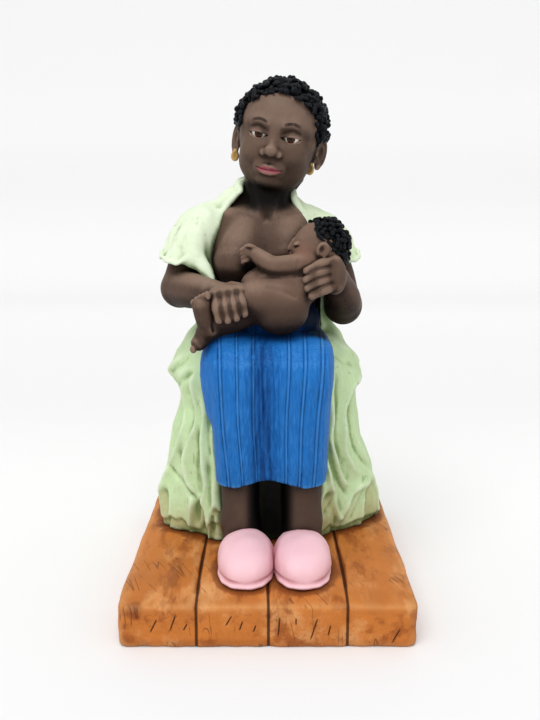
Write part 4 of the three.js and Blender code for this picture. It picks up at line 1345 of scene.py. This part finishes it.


# under sets how much painted light falls on surfaces facing up and painted shade on those facing down
skin = {"colour": (0.110, 0.067, 0.048), "dark": (0.011, 0.006, 0.004), "light": (0.28, 0.185, 0.135),
        "roughness": 0.5, "wash": 0.82, "rub": 0.85, "mottle": 0.2, "grit": 0.035, "shine": 0.1, "under": 0.8}
finishes = {        # tints lie over the colour in this order, under the washes and painted shade
    "robe": {
        "colour": (0.58, 0.75, 0.43), "dark": (0.14, 0.24, 0.07), "light": (0.82, 0.92, 0.72),
        "roughness": 0.62, "wash": 0.75, "rub": 0.5, "mottle": 0.12, "grit": 0.12, "shine": 0.3, "under": 0.4,
        "tints": {"high": (0.83, 0.92, 0.71), "drags": (0.20, 0.32, 0.10), "low": (0.60, 0.66, 0.36),
                  "inside": (0.47, 0.47, 0.22), "lining": (0.45, 0.44, 0.20), "dry": (0.93, 0.97, 0.86),
                  "gloom": (0.002, 0.002, 0.002)}},
    "skirt": {
        "colour": (0.011, 0.156, 0.505), "dark": (0.0003, 0.028, 0.14), "light": (0.11, 0.38, 0.78),
        "roughness": 0.55, "wash": 0.75, "rub": 0.5, "mottle": 0.12, "grit": 0.09, "shine": 0.13,
        "brush": (1, 1, 0.15),
        "tints": {"ribs": (0.07, 0.30, 0.74), "streaks": (0.05, 0.24, 0.62), "valley": (0.001, 0.035, 0.17),
                  "soot": (0.002, 0.0025, 0.005)}},
    "face": {
        **skin, "colour": (0.150, 0.095, 0.069), "light": (0.30, 0.20, 0.15), "under": 0.5, "wash": 0.72,
        "tints": {"brow": (0.225, 0.150, 0.115), "farCheek": (0.080, 0.049, 0.035),
                  "soot": (0.010, 0.006, 0.004), "lips": (0.40, 0.085, 0.12), "mouth": (0.03, 0.008, 0.009),
                  "eyebrows": (0.006, 0.004, 0.004), "lash": (0.006, 0.003, 0.003)}},
    "body": {
        **skin,
        "tints": {"soot": (0.010, 0.006, 0.004), "dusk": (0.055, 0.033, 0.023), "red": (0.15, 0.009, 0.010)}},
    "baby": {
        **skin, "colour": (0.165, 0.100, 0.072), "under": 0.65,
        "tints": {"dusk": (0.050, 0.030, 0.021), "blush": (0.24, 0.115, 0.08), "lips": (0.34, 0.09, 0.09),
                  "lash": (0.004, 0.003, 0.003)}},
    "leg": {
        **skin,
        "tints": {"all": (0.03, 0.02, 0.014), "deep": (0.012, 0.008, 0.006),
                  "gloom": (0.002, 0.0015, 0.0015)}},
    "hair": {
        "colour": (0.0022, 0.0026, 0.0034), "dark": (0.0004, 0.0004, 0.0006), "light": (0.014, 0.016, 0.022),
        "roughness": 0.36, "wash": 0.9, "rub": 0.6, "mottle": 0.1, "grit": 0.05, "shine": 0.07},
    "slippers": {
        "colour": (0.86, 0.53, 0.58), "dark": (0.55, 0.22, 0.25), "light": (0.95, 0.72, 0.76),
        "roughness": 0.6, "wash": 0.55, "rub": 0.3, "mottle": 0.08, "grit": 0.06, "shine": 0.3},
    "boards": {
        "colour": (0.57, 0.184, 0.035), "dark": (0.11, 0.028, 0.006), "light": (0.72, 0.37, 0.14),
        "roughness": 0.55, "wash": 0.8, "rub": 0.35, "mottle": 0.25, "grit": 0.1, "shine": 0.14,
        "brush": (1, 0.08, 1),
        "tints": {"patches": (0.76, 0.37, 0.14), "smears": (0.34, 0.085, 0.015),
                  "around": (0.24, 0.06, 0.012), "foot": (0.26, 0.07, 0.014),
                  "knot": (0.25, 0.055, 0.014), "rings": (0.12, 0.025, 0.007)}},
    "gold": {
        "colour": (0.46, 0.26, 0.06), "dark": (0.10, 0.05, 0.012), "light": (0.72, 0.48, 0.18),
        "roughness": 0.34, "wash": 0.8, "rub": 0.5, "mottle": 0.1, "grit": 0.03, "shine": 0.6},
}


# Each piece of clay is skinned, marked where the painter lays colour and where shade and light are painted,
# and hung in the frame

room = {
    "low": (-74.0, -84.0, -8.0),
    "cells": (75, 84, 136),
    "cell": 2.0,
    "reaches": ((2.5, 0.35), (5.0, 0.35), (9.0, 0.3)),      # how far to look out, and the share of it
}
bendShares = {"near": 3.0, "wide": 7.0}       # sharp creases and wide hollows


class Surroundings:       # how closed in a point is by all the clay around it
    def __init__(self, clays):
        self.counts = np.array(room["cells"])
        spots = np.array(room["low"]) + np.indices(self.counts).reshape(3, -1).T * room["cell"]
        gap = np.full(len(spots), farAway)
        for clay in clays:
            gap = np.minimum(gap, clay.distance(clay.inward(spots)))
        self.gap = gap.reshape(self.counts)

    def read(self, points):
        q = np.clip((points - room["low"]) / room["cell"], 0, self.counts - 1.001)
        cell = q.astype(int)
        t = q - cell
        value = 0
        for c in corners:
            share = np.prod(np.where(c, t, 1 - t), axis=1)
            value = value + share * self.gap[tuple((cell + c).T)]
        return value

    def shade(self, points, normals):
        closed = 0
        for reach, share in room["reaches"]:
            closed = closed + share * (1 - np.clip(self.read(points + normals * reach) / reach, 0, 1))
        return closed


def makePiece(name, clay, step, material, around, marks=None):
    points, faces, step = skinOf(clay, step)
    count = len(points)
    normals = skinNormals(points, faces)
    bend = ((neighbourMean(points, faces, count) - points) * normals).sum(1) / step
    near = neighbourMean(neighbourMean(bend, faces, count), faces, count)[:, 0]
    wide = near
    for _ in range(5):
        wide = neighbourMean(wide, faces, count)[:, 0]
    bend = bendShares["near"] * near + bendShares["wide"] * wide
    local = points
    points = clay.outward(points)
    normals = normals @ clay.axes.T
    mesh = bpy.data.meshes.new(name)
    mesh.vertices.add(count)
    mesh.vertices.foreach_set("co", (points * millimetre).ravel().astype(np.float32))
    mesh.loops.add(4 * len(faces))
    mesh.loops.foreach_set("vertex_index", faces.ravel().astype(np.int32))
    mesh.polygons.add(len(faces))
    mesh.polygons.foreach_set("loop_start", np.arange(0, 4 * len(faces), 4, dtype=np.int32))
    mesh.update(calc_edges=True)
    mesh.validate()
    mesh.shade_smooth()
    values = {"shade": around.shade(points, normals), "crease": np.clip(bend, 0, 1),
              "ridge": np.clip(-bend, 0, 1), "up": normals[:, 2]}
    values.update(marks(points) if marks else {})
    for key, value in values.items():
        mesh.attributes.new(key, "FLOAT", "POINT").data.foreach_set("value", value.astype(np.float32))
    own = mesh.attributes.new("own", "FLOAT_VECTOR", "POINT")
    own.data.foreach_set("vector", local.ravel().astype(np.float32))
    mesh.materials.append(material)
    piece = bpy.data.objects.new(name, mesh)
    bpy.context.scene.collection.objects.link(piece)
    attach(piece, "root")
    print(f"{name}: {2 * len(faces)} triangles")
    return piece


def figurePiece(*parts):
    piece = makePiece(*parts)
    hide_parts("mother_and_child")
    return piece


clays = {
    "robe": robeClay(), "skirt": skirtClay(), "mother_body": motherClay(), "mother_legs": legClay(),
    "slipper_right": slipperClay(*slipperForm["places"][0]),
    "slipper_left": slipperClay(*slipperForm["places"][1]),
    "mother_head": headClay(), "mother_hair": hairClay(), "baby": babyClay(), "baby_hair": babyHairClay(),
    "earring_right": earringClay(-1), "earring_left": earringClay(1),
    "eye_right": eyeBall(-1), "eye_left": eyeBall(1), "boards": baseClay(),
}
print("clay shaped")
around = Surroundings([clays[name] for name in clays if name[:3] not in ("eye", "ear")])
print("surroundings measured")


def spotGap(points, spot, size):      # 0 in the middle of an egg, 1 on its skin
    return np.linalg.norm((points - spot) / size, axis=1)


# painted shadow, broken up a little
def paintedShadowWash(paint, where):
    return (paint.stored("soot") * 1.1 - paint.wander(where, 4.0, 2.0) * 0.6).clamped() * 0.93


def robeMarks(points):
    x, y, z = points.T
    height = z - floor
    angle = robeLower.angle(*robeLower.ratio(points, height)[:4])
    return {"lining": smoothStep(0.6, -0.8, height - hemHeight(angle)),       # the hem's tucked edge
            "open": hemOpened(np.degrees(angle), height)[0],
            # painted shade in the hollow round the legs
            "gloom": smoothStep(24, 21, np.abs(x - 2)) * smoothStep(10, 4, y) * smoothStep(92, 84, z),
            "low": smoothStep(46, 22, z),
            # painted light on the robe's upper part, less on the wearer's left
            "high": smoothStep(125, 172, z) * (1 - 0.45 * smoothStep(8, 28, x))}


def robeTint(paint, where):
    low = (paint.stored("low") * 1.1 + paint.wander(where, 9.0) * 1.5 - 0.25).clamped()
    inside = (paint.stored("open") * 0.9 + paint.wander(where, 3.5) * 0.7).clamped()
    dry = paint.wander(where, 1.4, 4.0, 0.7).between(0.08, 0.2) * paint.stored("ridge").between(0.1, 0.4)
    drags = abs(paint.wander(paint.place((1, 1, 0.12)), 5.0, 1.0)).between(0.02, 0.004)
    drags = drags * paint.noise(where, 7.0, 2.0).between(0.55, 0.66)
    # painted light on the upper robe and painted shade round the legs, among the robe's own tints
    return {"high": paint.stored("high") * 0.85, "drags": drags * 0.5, "low": low * 0.5,
            "inside": inside * 0.8, "lining": paint.stored("lining") * 0.8, "dry": dry * 0.6,
            "gloom": paint.stored("gloom")}


def neckMarks(points):             # painted shadow under the chin
    x, y, z = points.T
    return {"soot": smoothStep(184, 193, z) * smoothStep(203, 198, z + 0.25 * (x - 2))
            * smoothStep(26, 18, y) * smoothStep(18, 9, abs(x))}


def bodyMarks(points):             # painted shadow under the chin and under the baby's hand, painted shade low on the right hand, and the red slip that shows below the breast
    x, y, z = points.T
    shadowUnderHand = 0.9 * smoothStep(1.0, 0.4, spotGap(points, (-8.0, -10, 161.5), (7.0, 12, 5.0)))
    return {"soot": np.maximum(neckMarks(points)["soot"], shadowUnderHand),
            "red": smoothStep(1.0, 0.7, spotGap(points, (-26.5, 0, 156.5), (5.0, 9, 3.6))),
            # painted shade low on the right hand
            "dusk": smoothStep(160, 152, z) * smoothStep(-6, -12, x) * smoothStep(-9, -17, y)}


def bodyTint(paint, where):
    return {"soot": paintedShadowWash(paint, where), "dusk": paint.stored("dusk") * 0.7,
            "red": paint.stored("red") * 0.95}


def legMarks(points):
    x, y, _ = points.T
    # painted shade on the legs' inner sides, between them, and further back under the skirt
    inner = np.where(x < 2, smoothStep(-12, -6.5, x), smoothStep(14, 8.5, x))
    return {"gloom": inner, "deep": smoothStep(-30, -22, y)}


def legTint(paint, where):
    # darker all over, with painted shade further back and on the inner sides
    return {"all": 0.35, "deep": paint.stored("deep") * 0.6, "gloom": paint.stored("gloom")}


def skirtTint(paint, where):
    streaks = paint.noise(paint.place((1, 1, 0.10)), 0.8, 3.0)
    valley = (paint.stored("valley") * 1.1 - (streaks - 0.5) * 1.3).clamped()
    ribs = 0
    for one, two in zip(skirtForm["seams"][::2], skirtForm["seams"][1::2]):
        ribs = abs(paint.stored("across") - (one + two) / 2).between(0.018, 0.008) + ribs
    return {"ribs": ribs * 0.4, "streaks": streaks.between(0.45, 0.75) * 0.35, "valley": valley * 0.8,
            "soot": paint.stored("soot") * 0.97}


def skirtSeams(paint):
    share = paint.stored("across")
    seams = 0
    for place in skirtForm["seams"]:
        seams = abs(share - place).between(0.013, 0.003) + seams
    gaps = paint.noise(paint.place((1, 1, 0.3)), 5.0, 2.0).between(0.28, 0.42)
    scratches = paint.noise(paint.place((1, 1, 0.05)), 0.9, 2.0).between(0.62, 0.72)
    return (seams * gaps * 0.5 + scratches * 0.2).clamped(), 0.35


def boardTint(paint, where):
    own = paint.own()
    up = paint.axis(own, "Z")
    patches = paint.noise(paint.place((1, 0.5, 1)), 16.0, 4.0, 0.6)
    smears = paint.noise(paint.place((1, 0.35, 1)), 10.0, 4.0, 0.65)
    # brown smears round the figure's foot, together with painted contact shade where the clay around closes
    # in
    around = (paint.stored("shade") * 1.6 + (smears - 0.5) * 1.2 - 0.12).between(0.05, 0.5)
    foot = (up.between(6, 0) + (smears - 0.5) * 1.2).clamped()
    knot = paint.node("ShaderNodeVectorMath", {"operation": "DISTANCE"},
                      {0: own, 1: baseForm["knot"]}, "Value")
    knot = knot + (smears - 0.5) * 3.5 + (patches - 0.5) * 3
    rings = (knot * 2.2).math("SINE").between(0.3, 1.0) * knot.between(4.4, 2.0)
    return {"patches": patches.between(0.48, 0.7) * 0.85, "smears": smears.between(0.5, 0.66) * 0.8,
            "around": around * 0.75, "foot": foot * 0.55, "knot": knot.between(5.4, 1.6) * 0.6,
            "rings": rings * 0.4}


def boardLines(paint):
    own = paint.own()
    across, along, up = (paint.axis(own, letter) for letter in "XYZ")
    lines = 0
    for x in baseForm["grooves"]:
        bend = (along / 21 + x).math("SINE") * 0.5 + x
        lines = abs(across - bend).between(0.8, 0.3) + lines
    ends = abs(along).between(72, 73)
    for x, z, endX, endZ in baseForm["cuts"]:
        length = math.hypot(endX - x, endZ - z)
        wayX, wayZ = (endX - x) / length, (endZ - z) / length
        run = ((across - x) * wayX + (up - z) * wayZ) / length
        off = abs((across - x) * wayZ - (up - z) * wayX)
        lines = off.between(0.42, 0.1) * run.between(0, 0.25) * run.between(1.0, 0.8) * ends + lines
    # fine slanting checks in the wood
    spot = paint.node("ShaderNodeCombineXYZ", {},
                      {"X": across + along * 0.5, "Y": along * 0.10, "Z": up * 0.22})
    checks = abs(paint.wander(spot, 5.0, 1.0)).between(0.016, 0.004)
    checks = checks * paint.noise(paint.place(), 13.0, 1.0).between(0.56, 0.64) * 0.5
    return (checks + lines).clamped(), 0.5


def babyMarks(points):
    def near(spot, size):
        return smoothStep(1.0, 0.45, spotGap(points, spot, size))
    return {"blush": near((16.5, -20, 168.5), (7, 7, 7)), "lips": near((11.0, -14.6, 167.6), (2.6, 3.6, 2.2)),
            "dusk": smoothStep(154, 142, points[:, 2]), "lash": near((13.4, -19.6, 172.5), (2.5, 2.6, 0.75))}


def babyTint(paint, where):        # painted shade low on the body, a warm cheek, the lips and the line of the closed eye
    return {"dusk": paint.stored("dusk") * 0.75, "blush": paint.stored("blush") * 0.45,
            "lips": paint.stored("lips") * 0.75, "lash": paint.stored("lash") * 0.95}


def faceTint(paint, where):
    own = paint.own()
    across, up = abs(paint.axis(own, "X")), paint.axis(own, "Z")
    ahead = paint.axis(own, "Y").between(-13, -15)
    arch = 1 - (across / 6.4) ** 2
    bow = abs(across - 1.3).between(1.8, 0.0) * 0.35
    lips = (arch * 1.75 + bow - (up + 11.1)).between(0, 0.4) * (up + 11.1 + arch * 2.6).between(0, 0.5)
    mouth = abs(up + 11.15 - (across / 6.4) ** 2 * 0.5).between(0.4, 0.1) * (across - 6.6).between(0.3, 0)
    along = ((across - 3.6) / 9.2).clamped()
    browLine = up - 10.3 - (along * 3.1).math("SINE") * 1.35
    eyebrows = abs(browLine).between(1.0, 0.5) * along.between(0.0, 0.12) * along.between(1.0, 0.75)
    x, _, z = headForm["eye"]
    half = headForm["eyeHalfWidth"]
    lidArc = (1 - ((across - x) / (half + 0.4)) ** 2) * 0.55 - (up - z + 0.55 - (across - x) * 0.05)
    lash = abs(lidArc).between(0.62, 0.2) * abs(across - x).between(half + 0.8, half - 0.4)
    # painted shade on the far cheek
    farCheek = paint.axis(own, "X").between(1, 9) * up.between(5, -2)
    # painted light on the forehead and painted shadow under the chin
    return {"brow": up.between(7, 13) * 0.6, "farCheek": farCheek * 0.5, "soot": paintedShadowWash(paint, where),
            "lips": lips * ahead, "mouth": mouth * ahead * 0.9, "eyebrows": eyebrows * ahead * 0.92,
            "lash": lash * ahead * 0.85}


eyeColours = {"white": (0.86, 0.80, 0.70), "corner": (0.45, 0.24, 0.18), "iris": (0.060, 0.018, 0.006),
              "pupil": (0.003, 0.002, 0.002)}


def eyePaint():
    paint = Paint("eyePaint")
    own = paint.own()
    x, _, z = headForm["eye"]
    side = abs(paint.axis(own, "X")) - x
    up = paint.axis(own, "Z") - (z - 0.5)
    off = (side * side + up * up).math("SQRT")
    white = paint.mix(off.between(2.6, 4.6), eyeColours["white"], eyeColours["corner"])
    iris = paint.mix(off.between(0.9, 1.1), eyeColours["pupil"], eyeColours["iris"])
    return paint.finish(paint.mix(off.between(2.0, 2.2), iris, white), 0.3, 0.2)


paintWork = {       # what a paint shows beside its plain finish
    "robe": {"tint": robeTint, "hushed": "gloom"}, "skirt": {"tint": skirtTint, "scored": skirtSeams},
    "boards": {"tint": boardTint, "scored": boardLines}, "face": {"tint": faceTint, "hushed": "soot"},
    "body": {"tint": bodyTint, "hushed": "soot"}, "baby": {"tint": babyTint},
    "leg": {"tint": legTint, "hushed": "gloom"},
}
paints = {name: castPaint(name + "Paint", **finish, **paintWork.get(name, {}))
          for name, finish in finishes.items()}
paints["eye"] = eyePaint()
print("paints mixed")

pieces = {          # step, paint and marks
    "robe": (robeForm["step"], "robe", robeMarks),
    "skirt": (skirtForm["step"], "skirt", skirtMarks),
    "mother_body": (motherForm["step"], "body", bodyMarks),
    "mother_legs": (legForm["step"], "leg", legMarks),
    "mother_head": (headForm["step"], "face", neckMarks),
    "mother_hair": (hairForm["step"], "hair", None),
    "baby": (babyForm["step"], "baby", babyMarks),
    "baby_hair": (babyForm["hairStep"], "hair", None),
}
for side in ("right", "left"):
    pieces["slipper_" + side] = (slipperForm["step"], "slippers", None)
    pieces["earring_" + side] = (headForm["smallStep"], "gold", None)
    pieces["eye_" + side] = (headForm["smallStep"], "eye", None)
for name, (step, paint, marks) in pieces.items():
    figurePiece(name, clays[name], step, paints[paint], around, marks)

base = makePiece("boards", clays["boards"], baseForm["step"], paints["boards"], around)
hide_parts("plank_base")


# Pale floor and soft studio light

studio = {
    "floor": (0.86, 0.86, 0.86),
    "grain": 0.985,          # the darker patches of the paper
    "sky": 0.66,
    "sun": 1.8,
    "sunFrom": (-0.22, -0.76, 1.35),
    "sunSpread": 50.0,       # degrees
    "middle": 0.915,         # painted shade and light on the paper: how much darker it is behind the work and where it bends up, and how much lighter above
    "bend": 0.865,
    "back": 1.03,
    "halfWidth": 1.6,        # of the sheet, in metres, as are the four below
    "near": -1.6,
    "bendStarts": 1.3,
    "bendRadius": 0.5,
    "rise": 1.6,
    "bendSteps": 14,
}


def setLight():
    scene = bpy.context.scene
    scene.view_settings.view_transform = "Standard"
    scene.view_settings.look = "None"
    world = bpy.data.worlds.new("studio")
    world.use_nodes = True
    sky = world.node_tree.nodes["Background"]
    sky.inputs["Color"].default_value = (1, 1, 1, 1)
    sky.inputs["Strength"].default_value = studio["sky"]
    scene.world = world
    light = bpy.data.lights.new("keyLight", "SUN")
    light.energy, light.angle = studio["sun"], math.radians(studio["sunSpread"])
    lamp = bpy.data.objects.new("keyLight", light)
    lamp.rotation_euler = Vector(studio["sunFrom"]).to_track_quat("Z", "Y").to_euler()
    scene.collection.objects.link(lamp)


def paperPaint():
    paint = Paint("floorPaint")
    floorColour = studio["floor"]
    grain, middle, bend, back = (tuple(value * studio[part] for value in floorColour)
                                 for part in ("grain", "middle", "bend", "back"))
    paper = paint.mix(paint.noise(paint.place(), 60.0, 2.0), floorColour, grain)
    y, z = (paint.axis(paint.place(), letter) for letter in "YZ")
    # painted shade behind the work and where the paper bends up, and painted light higher up
    paper = paint.mix(y.between(900, 1300), paint.mix(y.between(50, 400), paper, middle), bend)
    paper = paint.mix(z.between(200, 520), paper, back)
    return paint.finish(paper, 0.9, 0.5)


def setFloor():
    half, far, radius = studio["halfWidth"], studio["bendStarts"], studio["bendRadius"]
    rows = [(far + radius * math.sin(turn), radius - radius * math.cos(turn))
            for turn in np.linspace(0, math.pi / 2, studio["bendSteps"])]
    rows = [(studio["near"], 0.0), *rows, (far + radius, studio["rise"])]
    mesh = bpy.data.meshes.new("floor")
    mesh.from_pydata([(x, y, z) for y, z in rows for x in (-half, half)], [],
                     [(2 * i, 2 * i + 1, 2 * i + 3, 2 * i + 2) for i in range(len(rows) - 1)])
    mesh.shade_smooth()
    mesh.materials.append(paperPaint())
    sheet = bpy.data.objects.new("floor", mesh)
    bpy.context.scene.collection.objects.link(sheet)


setLight()
setFloor()
print("studio set")
